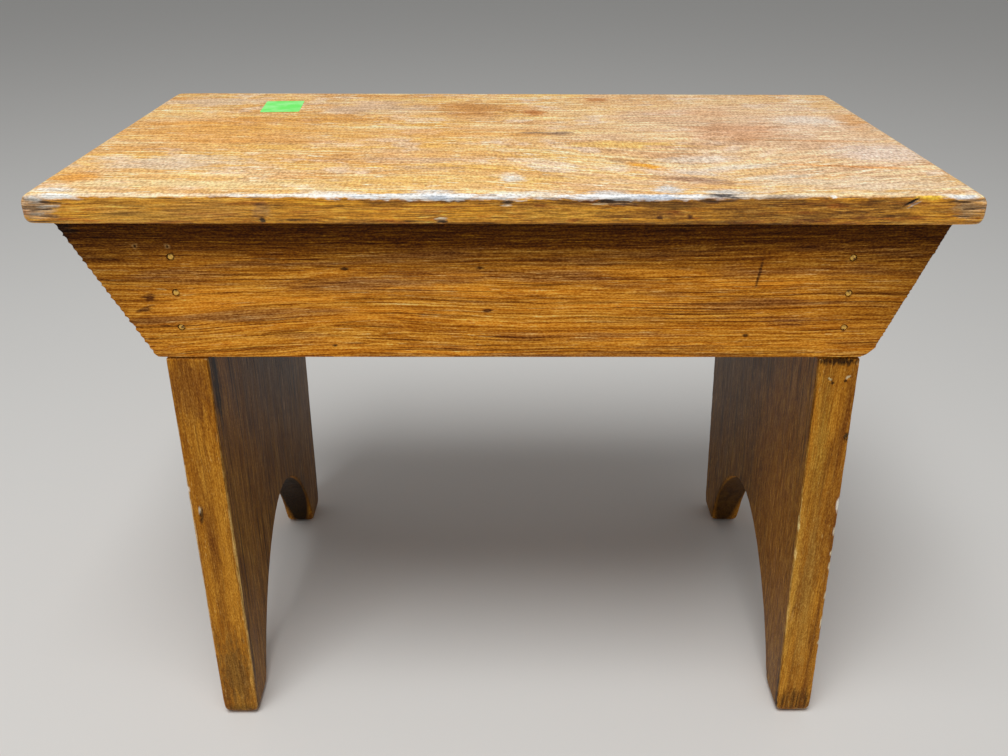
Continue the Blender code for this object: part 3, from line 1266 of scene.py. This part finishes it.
AMBER = shades_of("#643000", "#985408", "#C67A1C", "#DE9630", "#F2B85A")
SEAT_EDGE = shades_of("#603205", "#9E6012", "#D28C26", "#E8A840", "#F6C870")
SEAT_TOP = shades_of("#A0622A", "#CC8A42", "#E8B066", "#F6C882", "#FFE6B8")
LEG_AMBER = shades_of("#482604", "#7C4709", "#A86815", "#C07F22", "#DAA044")
# The legs' inner faces: a darker, greyer stain that is partly painted shade.
LEG_INNER_STAIN_AND_PAINTED_SHADE = shades_of("#33200A", "#583609", "#7A4C0F", "#8E5F1A", "#AA7C2E")
SEAT_VEILS = (
    Veil("#D9B48E", (64.0, 38.0, 38.0), 0.48, 0.57, 0.75, Side.OTHER, gritty=True, detail=6.0),
    Veil("#C98A42", (58.0, 30.0, 30.0), 0.52, 0.62, 0.60, Side.OTHER, shift=7.3, detail=5.0),
    Veil("#F0BC5E", (80.0, 16.0, 16.0), 0.50, 0.64, 0.70, Side.OTHER, shift=13.1, detail=4.0),
    Veil("#E6D2BE", (24.0, 14.0, 14.0), 0.57, 0.64, 0.70, Side.OTHER, gritty=True, shift=3.7, detail=6.0),
    Veil("#B87838", (34.0, 3.0, 3.0), 0.57, 0.67, 0.45, Side.OTHER, shift=21.9),
    Veil("#FFE2A8", (85.0, 2.2, 2.2), 0.56, 0.63, 0.85, Side.OTHER, shift=17.3, detail=2.0),
    Veil("#FFF0CC", (11.0, 1.8, 1.8), 0.62, 0.67, 0.90, Side.OTHER, shift=31.7, detail=2.0),
    Veil("#E69C26", (44.0, 5.0, 1.8), 0.48, 0.62, 0.80, Side.FIRST, shift=5.1),
    Veil("#6A3E0C", (32.0, 4.0, 1.2), 0.54, 0.65, 0.65, Side.FIRST, shift=9.7),
    Veil("#AA5410", (20.0, 4.0, 2.4), 0.54, 0.66, 0.65, Side.FIRST, shift=15.7),
    Veil("#8C7458", (30.0, 8.0, 6.0), 0.60, 0.72, 0.20, Side.FIRST, gritty=True, shift=19.3),
    Veil("#FFC860", (9.0, 2.0, 0.7), 0.59, 0.69, 0.60, Side.FIRST, shift=2.3),
    Veil("#33200A", (14.0, 2.0, 0.5), 0.57, 0.68, 0.80, Side.FIRST, shift=23.3),
)
APRON_VEILS = (
    Veil("#EE982A", (90.0, 5.0, 5.0), 0.48, 0.64, 0.80),
    Veil("#8A5E3A", (60.0, 5.0, 5.0), 0.53, 0.66, 0.50, shift=7.7),
    Veil("#6E3804", (190.0, 1.1, 1.1), 0.54, 0.64, 0.75, shift=12.3, detail=2.0),
    Veil("#F6C474", (14.0, 0.6, 0.6), 0.61, 0.71, 0.60, shift=4.9),
    Veil("#481A04", (5.0, 0.9, 0.9), 0.67, 0.76, 0.60, shift=16.1),
)
LEG_VEILS = (
    Veil("#D8962E", (90.0, 7.0, 7.0), 0.48, 0.66, 0.60, Side.FIRST),
    Veil("#6E3C10", (80.0, 6.0, 6.0), 0.50, 0.66, 0.60, Side.FIRST, shift=7.7),
    Veil("#5A3814", (60.0, 1.4, 1.4), 0.56, 0.70, 0.35, shift=12.3),
    Veil("#F0C678", (5.0, 0.7, 0.7), 0.64, 0.74, 0.50, Side.FIRST, shift=4.9),
    Veil("#3C1E08", (2.6, 1.0, 1.0), 0.65, 0.74, 0.60, Side.FIRST, shift=16.1),
    Veil("#120B06", (90.0, 2.6, 2.6), 0.52, 0.66, 0.75, Side.OTHER, shift=21.3),
    Veil("#946428", (70.0, 1.6, 1.6), 0.55, 0.67, 0.60, Side.OTHER, shift=27.9),
)
SEAT_MARKS = (
    Mark.on_top(-120, 5, 175, 125, "#E2A145", 0.40, core=0.1, rim=Rim.CLEAN),
    Mark.on_top(140, 10, 150, 135, "#E2C0A2", 0.75, core=0.1, rim=Rim.CLEAN),
    Mark.on_top(-73, 66, 44, 22, "#CBAC90", 0.7, rim=Rim.LOOSE),
    Mark.on_top(-165, 82, 42, 16, "#DDBF9E", 0.7, rim=Rim.LOOSE),
    Mark.on_top(-145, 10, 62, 34, "#DE983A", 0.6, rim=Rim.LOOSE),
    Mark.on_top(-118, 35, 60, 8, "#CC8632", 0.6, rim=Rim.LOOSE),
    Mark.on_top(-128, -16, 70, 8, "#CF8A36", 0.55, rim=Rim.LOOSE),
    Mark.on_top(-150, -58, 52, 15, "#E2CCB0", 0.8, gritty=True, rim=Rim.LOOSE),
    Mark.on_top(-125, -92, 80, 9, "#F2D59C", 0.75, gritty=True, rim=Rim.LOOSE),
    Mark.on_top(-186, -82, 14, 10, "#DB912F", 0.75),
    Mark.on_top(-16, 57, 32, 24, "#C4843A", 0.8, rim=Rim.LOOSE),
    Mark.on_top(17, 53, 9, 9, "#B86C28", 0.8),
    Mark.on_top(55, 89, 10, 7, "#BE742C", 0.8),
    Mark.on_top(-60, 16, 38, 2.6, "#F8DFAA", 0.8),
    Mark.on_top(-20, 2, 60, 12, "#D8943C", 0.55, rim=Rim.LOOSE),
    Mark.on_top(-49, -50, 42, 7, "#C8A482", 0.7, gritty=True, rim=Rim.LOOSE),
    Mark.on_top(-33, -66, 30, 5, "#C9A786", 0.6, gritty=True, rim=Rim.LOOSE),
    Mark.on_top(-20, -84, 85, 8, "#F0BE64", 0.6, rim=Rim.LOOSE),
    Mark.on_top(57, -22, 38, 10, "#F0BE60", 0.75, rim=Rim.LOOSE),
    Mark.on_top(120, 8, 34, 28, "#CA8E5E", 0.65, rim=Rim.LOOSE),
    Mark.on_top(110, 55, 40, 14, "#CE9666", 0.5, rim=Rim.LOOSE),
    Mark.on_top(166, 34, 24, 15, "#EAD8C6", 0.9, gritty=True),
    Mark.on_top(188, 30, 11, 24, "#D8954A", 0.65, rim=Rim.LOOSE),
    Mark.on_top(180, -36, 32, 22, "#E8D0BE", 0.9, gritty=True),
    Mark.on_top(160, -62, 46, 2.4, "#D98C40", 0.75, -8),
    Mark.on_top(150, -12, 46, 2.6, "#CE8A4C", 0.6, -3),
    Mark.on_top(58, -56, 18, 6, "#A8764E", 0.6, -40),
    Mark.on_top(65, -62, 14, 5, "#F0A634", 0.95, -35),
    Mark.on_top(90, -50, 28, 9, "#DCCDBB", 0.75, 8, gritty=True),
    Mark.on_top(106, -63, 26, 5, "#E2D6C6", 0.7, 14, gritty=True),
    Mark.on_top(82, -72, 18, 5, "#D2C4B4", 0.7, -22, gritty=True),
    Mark.on_top(118, -80, 26, 4, "#E8DCC8", 0.7, 12, gritty=True),
    Mark.on_top(28, 2.3, 10, 6.0, "#6F5346", 0.8, core=0.3),
    Mark.on_top(15, 3.6, 9, 3.0, "#7C604E", 0.7),
    Mark.on_top(3, -83, 7, 7, "#E4E0D4", 0.9, gritty=True),
    Mark.on_top(84, -85, 24, 6, "#976B50", 0.8, -20, core=0.2),
    Mark.on_top(90, -102, 13, 2.6, "#6E5546", 0.8, -30, core=0.2),
    Mark.on_top(68, -99, 9, 7, "#DEE3E5", 0.9, gritty=True),
    Mark.on_top(150, -90, 62, 12, "#E9D2B4", 0.7, gritty=True, rim=Rim.LOOSE),
    Mark.on_top(-188, -101, 12, 5, "#E4E2DA", 0.85, gritty=True),
    # The front arris seen from above: worn bare, with a painted highlight.
    Mark.on_top(-72, -104.5, 16, 4.0, "#EFEAE0", 0.8, gritty=True),
    Mark.on_top(-30, -104.0, 12, 5.0, "#DDE2E6", 0.8, gritty=True),
    Mark.on_top(8, -104.5, 18, 3.5, "#F0EADC", 0.75, gritty=True),
    Mark.on_top(42, -104.0, 10, 5.0, "#E6E8E8", 0.8, gritty=True),
    Mark.on_top(92, -103.0, 14, 6.0, "#DCDAD4", 0.8, gritty=True),
    Mark.on_top(140, -105.0, 40, 3.0, "#F2DFB4", 0.7, gritty=True),
    Mark.on_front(40, 297.0, 125, 2.8, "#5A340E", 0.7, core=0.15, rim=Rim.LOOSE),
    Mark.on_front(66, 296.4, 28, 2.6, "#43260C", 0.6, core=0.2, rim=Rim.LOOSE),
    Mark.on_front(-118, 298.9, 8, 0.7, "#6A3E14", 0.8),
    Mark.on_front(-101, 293, 5, 4, "#8A6848", 0.6, gritty=True),
    Mark.on_front(-87, 289.3, 10, 0.7, "#3A1E08", 0.8),
    Mark.on_front(-24, 297.4, 9, 0.8, "#4A2C12", 0.8),
    # The front arris: worn bare, with a painted highlight along it.
    Mark.on_front(-90, 299.6, 44, 1.1, "#EDE6D8", 0.9, face=-107.2),
    Mark.on_front(-28, 299.3, 62, 2.1, "#EFEFEC", 0.95, face=-107.2, core=0.55),
    Mark.on_front(56, 299.3, 48, 2.0, "#E9EBEC", 0.95, face=-107.2, core=0.5),
    # Painted reflection on the front arris.
    Mark.on_front(-28, 298.8, 8, 1.3, "#B4C2D4", 0.75, gritty=True),
    Mark.on_front(62, 299.0, 14, 1.4, "#A9B8CB", 0.75, gritty=True),
    Mark.on_front(-62, 299.4, 10, 1.0, "#C2C8CE", 0.7, gritty=True),
    Mark.on_front(16, 299.4, 12, 1.0, "#D9B98A", 0.7, gritty=True),
    Mark.on_front(-8, 299.6, 6, 0.7, "#B98A50", 0.7),
    Mark.on_front(105, 299.6, 36, 1.4, "#EADCC6", 0.8, face=-107.2),
    Mark.on_front(-152, 299.6, 40, 1.2, "#EED9B4", 0.8, face=-107.2),
    Mark.on_front(-120, 293, 26, 6, "#8C6438", 0.4, gritty=True, rim=Rim.LOOSE),
    Mark.on_front(130, 293, 72, 9, "#643810", 0.6, gritty=True, rim=Rim.LOOSE),
    Mark.on_front(20, 292, 34, 3, "#D9A23C", 0.5),
    Mark.on_front(-150, 291, 30, 2.6, "#C9963E", 0.5),
    Mark.on_front(-193, 294, 9, 7, "#B09C86", 0.7, gritty=True),
    Mark.on_front(-184, 298.9, 13, 1.7, "#E8E6DE", 0.95, face=-107.0),
    Mark.on_front(-194, 297.6, 5, 1.4, "#DCDAD2", 0.85),
    Mark.on_front(-188, 294.8, 6, 0.9, "#D2C6B4", 0.80, -5),
    Mark.on_front(-194, 291.6, 4, 1.0, "#CDBFAA", 0.75),
    Mark.on_front(-187, 296.4, 8, 0.7, "#33241A", 0.85, 4),
    Mark.on_front(-191, 293.4, 7, 0.6, "#3E2C1E", 0.85, -6),
    Mark.on_front(-189, 290.4, 6, 0.5, "#4A3420", 0.8, 3),
    Mark.on_front(192, 295, 8, 6, "#BFA27C", 0.65, gritty=True),
    Mark.on_front(188, 299.4, 10, 1.6, "#DCDFE1", 0.9, face=-107.0),
    Mark.on_front(188, 297.4, 8, 0.6, "#4A321C", 0.85, 5),
    Mark.on_front(192, 294.2, 7, 0.6, "#553A1E", 0.85, -4),
    Mark.on_front(190, 291.2, 6, 0.5, "#4A321C", 0.8, 3),
    Mark.on_front(175.5, 299.3, 7.5, 1.4, "#F4C53C", 0.95),
    Mark.on_front(135, 299.6, 1.5, 1.2, "#F6EFE2", 0.95),
    Mark.on_front(167.5, 297.3, 4.6, 0.9, "#1C1107", 0.95, -31),
    # Painted highlight on the gouge's lower lip.
    Mark.on_front(168.8, 296.3, 3.4, 0.5, "#B4A492", 0.75, -31),
    Mark.on_front(0.5, 296.7, 3.2, 1.0, "#382413", 0.9),
    # Painted highlight on the dent's lower lip.
    Mark.on_front(0.0, 295.5, 3.0, 0.5, "#CDBB9F", 0.75),
    Mark.on_front(42, 297.2, 6, 1.4, "#3A2616", 0.85),
    Mark.on_front(50, 296.6, 7, 1.0, "#4A3424", 0.8, 6, gritty=True),
    # Painted highlight on the chipped stain.
    Mark.on_front(47, 297.9, 5, 0.6, "#C6CCD2", 0.8),
    Mark.on_front(38, 296.2, 4, 0.5, "#D6C29E", 0.7),
    Mark.on_front(60, 291.5, 24, 2.4, "#7A4A1C", 0.7, gritty=True),
    Mark.on_front(64, 290.5, 1.7, 1.2, "#4E260C", 0.9),
    Mark.on_front(76.5, 290.8, 1.7, 1.3, "#52290E", 0.9),
    Mark.on_front(84, 297.4, 5, 1.2, "#4E3420", 0.8, 5),
    Mark.on_front(93, 297.8, 4, 0.8, "#5A3E28", 0.75, -8),
    Mark.on_front(89, 299.4, 8, 0.8, "#2E2A2E", 0.9, 3),
    Mark.on_top(89, -106.2, 9, 1.3, "#3A3438", 0.85),
    Mark.on_front(-101, 289.0, 1.8, 1.7, "#28190B", 0.9),
    Mark.on_front(-27, 289.9, 3.2, 0.7, "#DCCCAC", 0.85),
    Mark.on_front(-27, 288.5, 3.8, 0.9, "#28190B", 0.95),
    Mark.on_front(0, 287.2, 210, 0.9, "#4A2A0C", 0.75),
)
NAIL_SPOTS = (
    (-143.7, 270.7),
    (-143.9, 254.2),
    (-144.0, 237.7),
    (149.9, 270.7),
    (150.7, 254.2),
    (151.5, 237.7),
)
APRON_MARKS = (
    # Painted shade: a dark band under the seat's overhang, and darker ends.
    Mark((0, -102, 289), (800, 6, 29), "#5A2D00", 0.97, core=0.42, rim=Rim.CLEAN),
    Mark((-195, -102, 262), (62, 6, 60), "#3C1B00", 0.5, core=0.1, rim=Rim.CLEAN),
    Mark((195, -102, 262), (62, 6, 60), "#3C1B00", 0.55, core=0.1, rim=Rim.CLEAN),
    Mark((0, -102, 288), (800, 6, 7), "#2A1000", 0.5, core=0.3, rim=Rim.CLEAN),
    # Painted shade where the top-left corner is broken away.
    Mark.on_board(-188, 284, 8, 6, "#1E1006", 0.85),
    Mark.on_board(-60, 258, 48, 6, "#74492C", 0.45, gritty=True),
    Mark.on_board(-28, 263, 36, 4, "#70472E", 0.4, gritty=True),
    Mark.on_board(100, 264, 15, 4.5, "#6A412A", 0.45, gritty=True),
    Mark.on_board(126, 241, 19, 3.5, "#5C3A2E", 0.55, gritty=True),
    Mark.on_board(76, 228, 28, 3, "#5E3824", 0.5, gritty=True),
    Mark.on_board(-110, 242, 34, 2.5, "#6A3E22", 0.4, gritty=True),
    Mark.on_board(110.3, 264, 0.9, 9, "#43220C", 0.8, 8),
    Mark.on_board(-69.3, 265.4, 2.6, 0.9, "#361A07", 0.9),
    Mark.on_board(-11.1, 265.9, 2.4, 0.9, "#361A07", 0.9),
    Mark.on_board(-8.1, 245.9, 2.6, 1.0, "#4A1F0A", 0.9, -10),
    Mark.on_board(-76.5, 228.8, 1.6, 1.0, "#361A07", 0.9),
    Mark.on_board(107.5, 233.8, 1.9, 1.1, "#361A07", 0.9),
    Mark.on_board(-155.5, 252.0, 4.6, 1.9, "#50240A", 0.9),
    Mark.on_board(-158.5, 246.5, 4.6, 1.4, "#50240A", 0.85, -20),
    *(Mark.on_board(x, 275.7, 1.6, 1.5, "#A87C44", 0.8) for x in (-158.0, -144.3)),
    *(Mark.on_board(x, 275.5, 0.8, 0.8, "#2A1404", 0.95) for x in (-158.0, -144.3)),
    *(Mark.on_board(x, z, 2.1, 2.1, "#4A2606", 0.7, core=0.7) for x, z in NAIL_SPOTS),
    Mark.on_board(-149.8, 256.0, 2.6, 0.5, "#CFA566", 0.75, 6),
    Mark.on_board(-150.5, 238.6, 3.4, 0.45, "#4A2A0C", 0.8),
    Mark.on_board(176.5, 247.0, 2.2, 9.0, "#9A8A62", 0.5, 28, gritty=True),
)
LEFT_LEG_MARKS = (
    # Painted shade on the inner face, darker at its back and top, a painted shadow strip by the front edge
    # under the apron, and painted shade under the arch at the rear foot.
    Mark((-135, 62, 150), (5, 130, 190), "#2A231D", 0.5, core=0.2, rim=Rim.CLEAN),
    Mark((-134.6, 34, 225), (5, 132, 105), "#2A2626", 0.8, core=0.35, rim=Rim.CLEAN),
    Mark((-134.5, -94, 208), (4, 7, 32), "#140A04", 0.85),
    Mark((-146.2, 45, 35), (10.8, 56, 66), "#0A0806", 0.95, core=0.8, rim=Rim.CLEAN),
    Mark.on_board(-147, 125, 3.8, 105, "#7A420E", 0.5, core=0.1),
    Mark.on_board(-139.8, 112, 4.6, 95, "#CE8C28", 0.8, core=0.1),
    Mark.on_board(-145, 208, 11, 26, "#7A4616", 0.7),
    Mark.on_board(-146, 30, 11, 34, "#725020", 0.7),
    Mark.on_front(-136.1, 100, 1.0, 96, "#EABB66", 0.95, 0.6, face=-101.4, gritty=True),
    Mark.on_front(-154.6, 120, 1.0, 100, "#EACB96", 0.95, 0.6, face=-101.4, gritty=True),
    Mark.on_front(-137.6, 24, 1.5, 22, "#DBA24A", 0.8, 0.6, face=-101.6, gritty=True),
    Mark.on_board(-149.6, 136.0, 1.3, 5.6, "#2E1A0A", 0.85, 5),
    Mark.on_board(-150.3, 139.0, 0.6, 3.0, "#E6D6B8", 0.95, 5),
    Mark.on_board(-154.3, 151.5, 1.3, 2.6, "#F3EAD8", 0.95),
    Mark.on_board(-154.1, 166.0, 0.9, 2.2, "#3A220C", 0.85),
    Mark.on_board(-155.0, 89.0, 0.9, 4.0, "#E6D0A6", 0.85),
    Mark.on_board(-146, 3, 13, 6, "#5E4210", 0.6),
)
RIGHT_LEG_MARKS = (
    # Painted shade on the inner face, darker at its back and top, and painted light on its lower front.
    Mark((145, 70, 175), (5, 125, 165), "#2C261F", 0.55, (0, RIGHT_LEAN, 0), core=0.2, rim=Rim.CLEAN),
    Mark((141.8, 20, 245), (5, 106, 95), "#2C2924", 0.85, (0, RIGHT_LEAN, 0), core=0.35, rim=Rim.CLEAN),
    Mark((149, -66, 105), (20, 62, 100), "#A4681C", 0.65, core=0.2, rim=Rim.CLEAN),
    Mark((143, 2, 198), (7, 3, 30), "#080605", 0.9),
    Mark((143, 24, 205), (7, 2, 34), "#080605", 0.85),
    # Painted shade under the arch at the rear foot.
    Mark((161, 45, 35), (10.8, 56, 66), "#22140A", 0.85, core=0.8, rim=Rim.CLEAN),
    Mark.on_board(158, 80, 5.0, 78, "#B88A3A", 0.65, RIGHT_LEAN, core=0.1),
    Mark.on_board(150.5, 175, 5.0, 45, "#B28630", 0.65, RIGHT_LEAN, core=0.1),
    Mark.on_board(163.0, 140, 3.4, 85, "#7A420E", 0.65, RIGHT_LEAN, gritty=True),
    # Painted shadow in the gap under the apron.
    Mark.on_board(152, 221.4, 14, 3.0, "#1E0E04", 0.92),
    Mark.on_front(149.6, 92, 4.0, 88, "#CF9738", 0.75, RIGHT_LEAN, face=-101.6, core=0.3),
    # The inner arris: worn bare, with painted highlights along it.
    Mark.on_front(147.6, 105, 1.3, 75, "#E3B662", 0.9, RIGHT_LEAN, face=-101.6, gritty=True),
    Mark.on_front(146.9, 130, 1.2, 7.0, "#FBDD92", 0.95, RIGHT_LEAN, face=-101.8),
    Mark.on_front(147.8, 111, 1.3, 5.0, "#F8D484", 0.95, RIGHT_LEAN, face=-101.8),
    Mark.on_front(149.6, 72, 1.6, 11, "#DFAF58", 0.75, RIGHT_LEAN, face=-101.8),
    Mark.on_front(164.8, 141, 1.2, 5.5, "#F6EEDF", 0.95, RIGHT_LEAN, face=-101.7),
    Mark.on_front(165.7, 126, 1.0, 3.5, "#EFE2C6", 0.95, RIGHT_LEAN, face=-101.7),
    *(Mark.on_front(x, z, 1.0, tall, "#E8D8B4", 0.92, RIGHT_LEAN, face=-101.7)
      for x, z, tall in ((166.5, 112, 2.5), (167.0, 103, 4.0), (167.9, 84, 3.0), (168.7, 66, 4.5),
                         (169.4, 52, 2.5))),
    Mark.on_board(162.4, 181, 1.9, 2.6, "#1C0E05", 0.9),
    Mark.on_board(149.4, 211.6, 1.5, 0.7, "#EAD49C", 0.9, 40),
    Mark.on_board(150.8, 209.8, 1.3, 0.9, "#2A1606", 0.9),
    Mark.on_board(157.8, 212.8, 1.5, 0.8, "#EAD8AC", 0.9, -50),
    Mark.on_board(156.8, 211.0, 1.0, 1.0, "#2A1606", 0.9),
    Mark.on_board(162, 9, 13, 12, "#4E300E", 0.85, gritty=True),
    Mark.on_front(167.5, 1.5, 4.5, 1.6, "#CFC6A4", 0.8, face=-101.6),
)
SEAT_GOUGES = (
    Gouge((0.5, -108.2, 296.6), (3.2, 1.2, 1.2)),
    Gouge((45.0, -108.4, 297.0), (9.0, 1.4, 1.8)),
    Gouge((-27.0, -108.3, 288.6), (3.5, 1.3, 1.4)),
    Gouge((-101.0, -108.3, 288.2), (1.8, 1.2, 1.6)),
    Gouge((167.5, -108.3, 297.2), (4.6, 1.3, 0.9), (0, -30, 0)),
    Gouge((88.0, -108.0, 299.9), (9.0, 1.6, 1.0)),
    Gouge((-62.0, -108.2, 286.9), (11.0, 1.1, 0.9)),
    Gouge((-140.0, -108.2, 286.9), (7.0, 1.0, 0.8)),
    Gouge((22.0, -108.2, 286.9), (13.0, 1.1, 0.9)),
    Gouge((112.0, -108.2, 286.9), (9.0, 1.2, 0.9)),
    Gouge((-196.0, -107.9, 297.0), (8.0, 1.0, 0.7)),
    Gouge((-195.0, -108.0, 293.8), (7.0, 1.0, 0.6)),
    Gouge((-193.0, -108.0, 290.6), (8.0, 1.0, 0.6)),
    Gouge((196.0, -107.9, 297.6), (8.0, 1.0, 0.7)),
    Gouge((195.0, -108.0, 294.6), (7.0, 1.0, 0.6)),
    Gouge((193.0, -108.0, 291.0), (8.0, 1.0, 0.6)),
)
LEFT_LEG_GOUGES = (
    Gouge((-149.6, -102.2, 137.9), (1.1, 1.3, 4.6), (0, 6, 0)),
    Gouge((-155.0, -102.3, 151.0), (1.2, 1.6, 2.6)),
    Gouge((-155.4, -102.3, 89.0), (0.9, 1.4, 3.0)),
    Gouge((-136.6, -102.2, 60.0), (1.0, 1.2, 9.0)),
    Gouge((-135.9, -102.2, 180.0), (0.8, 1.1, 5.0)),
    Gouge((-154.6, -102.2, 196.0), (0.7, 1.0, 4.0)),
)
RIGHT_LEG_GOUGES = (
    Gouge((162.6, -102.3, 181.0), (1.7, 1.6, 2.0)),
    Gouge((150.0, -102.2, 210.9), (1.9, 0.9, 1.0), (0, 30, 0)),
    Gouge((157.5, -102.2, 212.4), (1.4, 0.9, 1.6), (0, -25, 0)),
    Gouge((161.4, -102.4, 220.0), (1.6, 1.6, 2.2)),
    Gouge((166.0, -102.3, 142.0), (0.9, 1.3, 3.0)),
    Gouge((166.6, -102.3, 132.0), (0.8, 1.2, 2.2)),
    Gouge((168.4, -102.3, 94.8), (0.9, 1.2, 3.0)),
    Gouge((170.0, -102.3, 54.0), (0.9, 1.2, 3.4)),
    Gouge((172.4, -102.2, 3.0), (3.0, 2.0, 2.4)),
    Gouge((152.5, -102.2, 70.0), (1.0, 1.1, 8.0)),
)


def leg_pine(name: str, heart: tuple[float, float], inner: Triple, marks: tuple[Mark, ...]) -> VarnishedPine:
    """Gives one leg its finish, which differs from the other leg's in few things.

    Args:
        name: What the finish is called.
        heart: Where the tree's heart lies, in mm across and through the board.
        inner: The direction that the leg's inner face looks in.
        marks: The leg's own marks.

    Returns:
        The finish.
    """
    return VarnishedPine(name, Grain.UP_LEG, ring=3.6, heart=heart, tilt=(0.01, 0.0), shades=LEG_AMBER,
                         bare="#E4BE7A", bare_share=0.75, late=0.05, lines=0.5, weights=(0.6, 0.5, 0.8),
                         shine=0.06, grit=(34.0, 1.6, 1.6),
                         # The inner face takes the darker ramp, which is partly painted shade.
                         other=OtherSide(inner, LEG_INNER_STAIN_AND_PAINTED_SHADE, 1.2, (1.7, 0.9, 0.8)), veils=LEG_VEILS,
                         marks=marks)


def main() -> None:
    """Builds the bench in order and reports each piece."""
    Studio().build()
    seat = VarnishedPine("seat_pine_scuffed_varnish", Grain.ALONG_SEAT, ring=3.4, heart=(-40.0, -70.0),
                         tilt=(0.03, 0.05), shades=SEAT_EDGE, bare="#EBDDC2", lines=0.75,
                         streak=(60.0, 9.0, 0.9), fibre=(30.0, 3.0, 0.45), grit=(0.9, 0.6, 0.6), shine=0.25,
                         weights=(2.0, 1.4, 1.0), lift=0.25, thin=0.7, spread=(4.0, 1.0), late=0.18,
                         other=OtherSide((0, 0, 1), SEAT_TOP, 0.5, (0.7, 0.75, 1.5)), veils=SEAT_VEILS,
                         knots=(Knot((88, -75, 300), (120, 80, 60), 26),), marks=SEAT_MARKS)
    SeatBoard("seat_board", "seat_wood", seat, voxel=0.85, seed=1, wear_depth=0.4, gouges=SEAT_GOUGES).build()
    apron = VarnishedPine("apron_pine_amber_varnish", Grain.ALONG_APRON, ring=2.1, heart=(420.0, -60.0),
                          tilt=(0.01, 0.0), shades=AMBER, bare="#C79A55", bend=13.0, late=0.2, lines=1.2,
                          weights=(1.4, 0.8, 1.0), fibre=(70.0, 0.6, 0.6), shine=0.04,
                          knots=(Knot((-70, -242, -102), (95, 34, 60), 5),), grit=(11.0, 0.6, 0.6),
                          veils=APRON_VEILS, marks=APRON_MARKS)
    Apron("front_apron", "apron_wood", apron, voxel=0.6, seed=2, nails=NAIL_SPOTS).build()
    Apron("rear_apron", "apron_wood", apron, voxel=0.6, seed=3, outer=102.0, nails=NAIL_SPOTS).build()
    left = leg_pine("left_leg_pine_amber_varnish", (60.0, 190.0), (1, 0, 0), LEFT_LEG_MARKS)
    LegBoard("left_leg", "leg_wood", left, voxel=0.8, seed=4, wear_length=(6, 6, 26),
             gouges=LEFT_LEG_GOUGES).build()
    right = leg_pine("right_leg_pine_amber_varnish", (-70.0, -190.0), (-1, 0, 0), RIGHT_LEG_MARKS)
    LegBoard("right_leg", "leg_wood", right, voxel=0.8, seed=5, wear_length=(6, 6, 26), outer_top=161.7,
             splay=0.04716, gouges=RIGHT_LEG_GOUGES).build()
    steel = NailSteel()
    places = {}
    for face, y in (("front", -101.7), ("rear", 101.7)):
        for number, (x, z) in enumerate(NAIL_SPOTS):
            end = "left" if x < 0 else "right"
            places[f"{face}_nail_{end}_{number % 3 + 1}"] = (x, y, z)
    ApronNails(steel, "nail_steel", places).build()
    hidden = steel.material()
    for name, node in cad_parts.items():
        if name.startswith("seat_nail"):
            node.data.materials.clear()
            node.data.materials.append(hidden)
    PaperLabel(LabelPaper()).build()


if __name__ == "__main__":
    logging.basicConfig(level=logging.INFO, format="%(name)s: %(message)s")
    main()
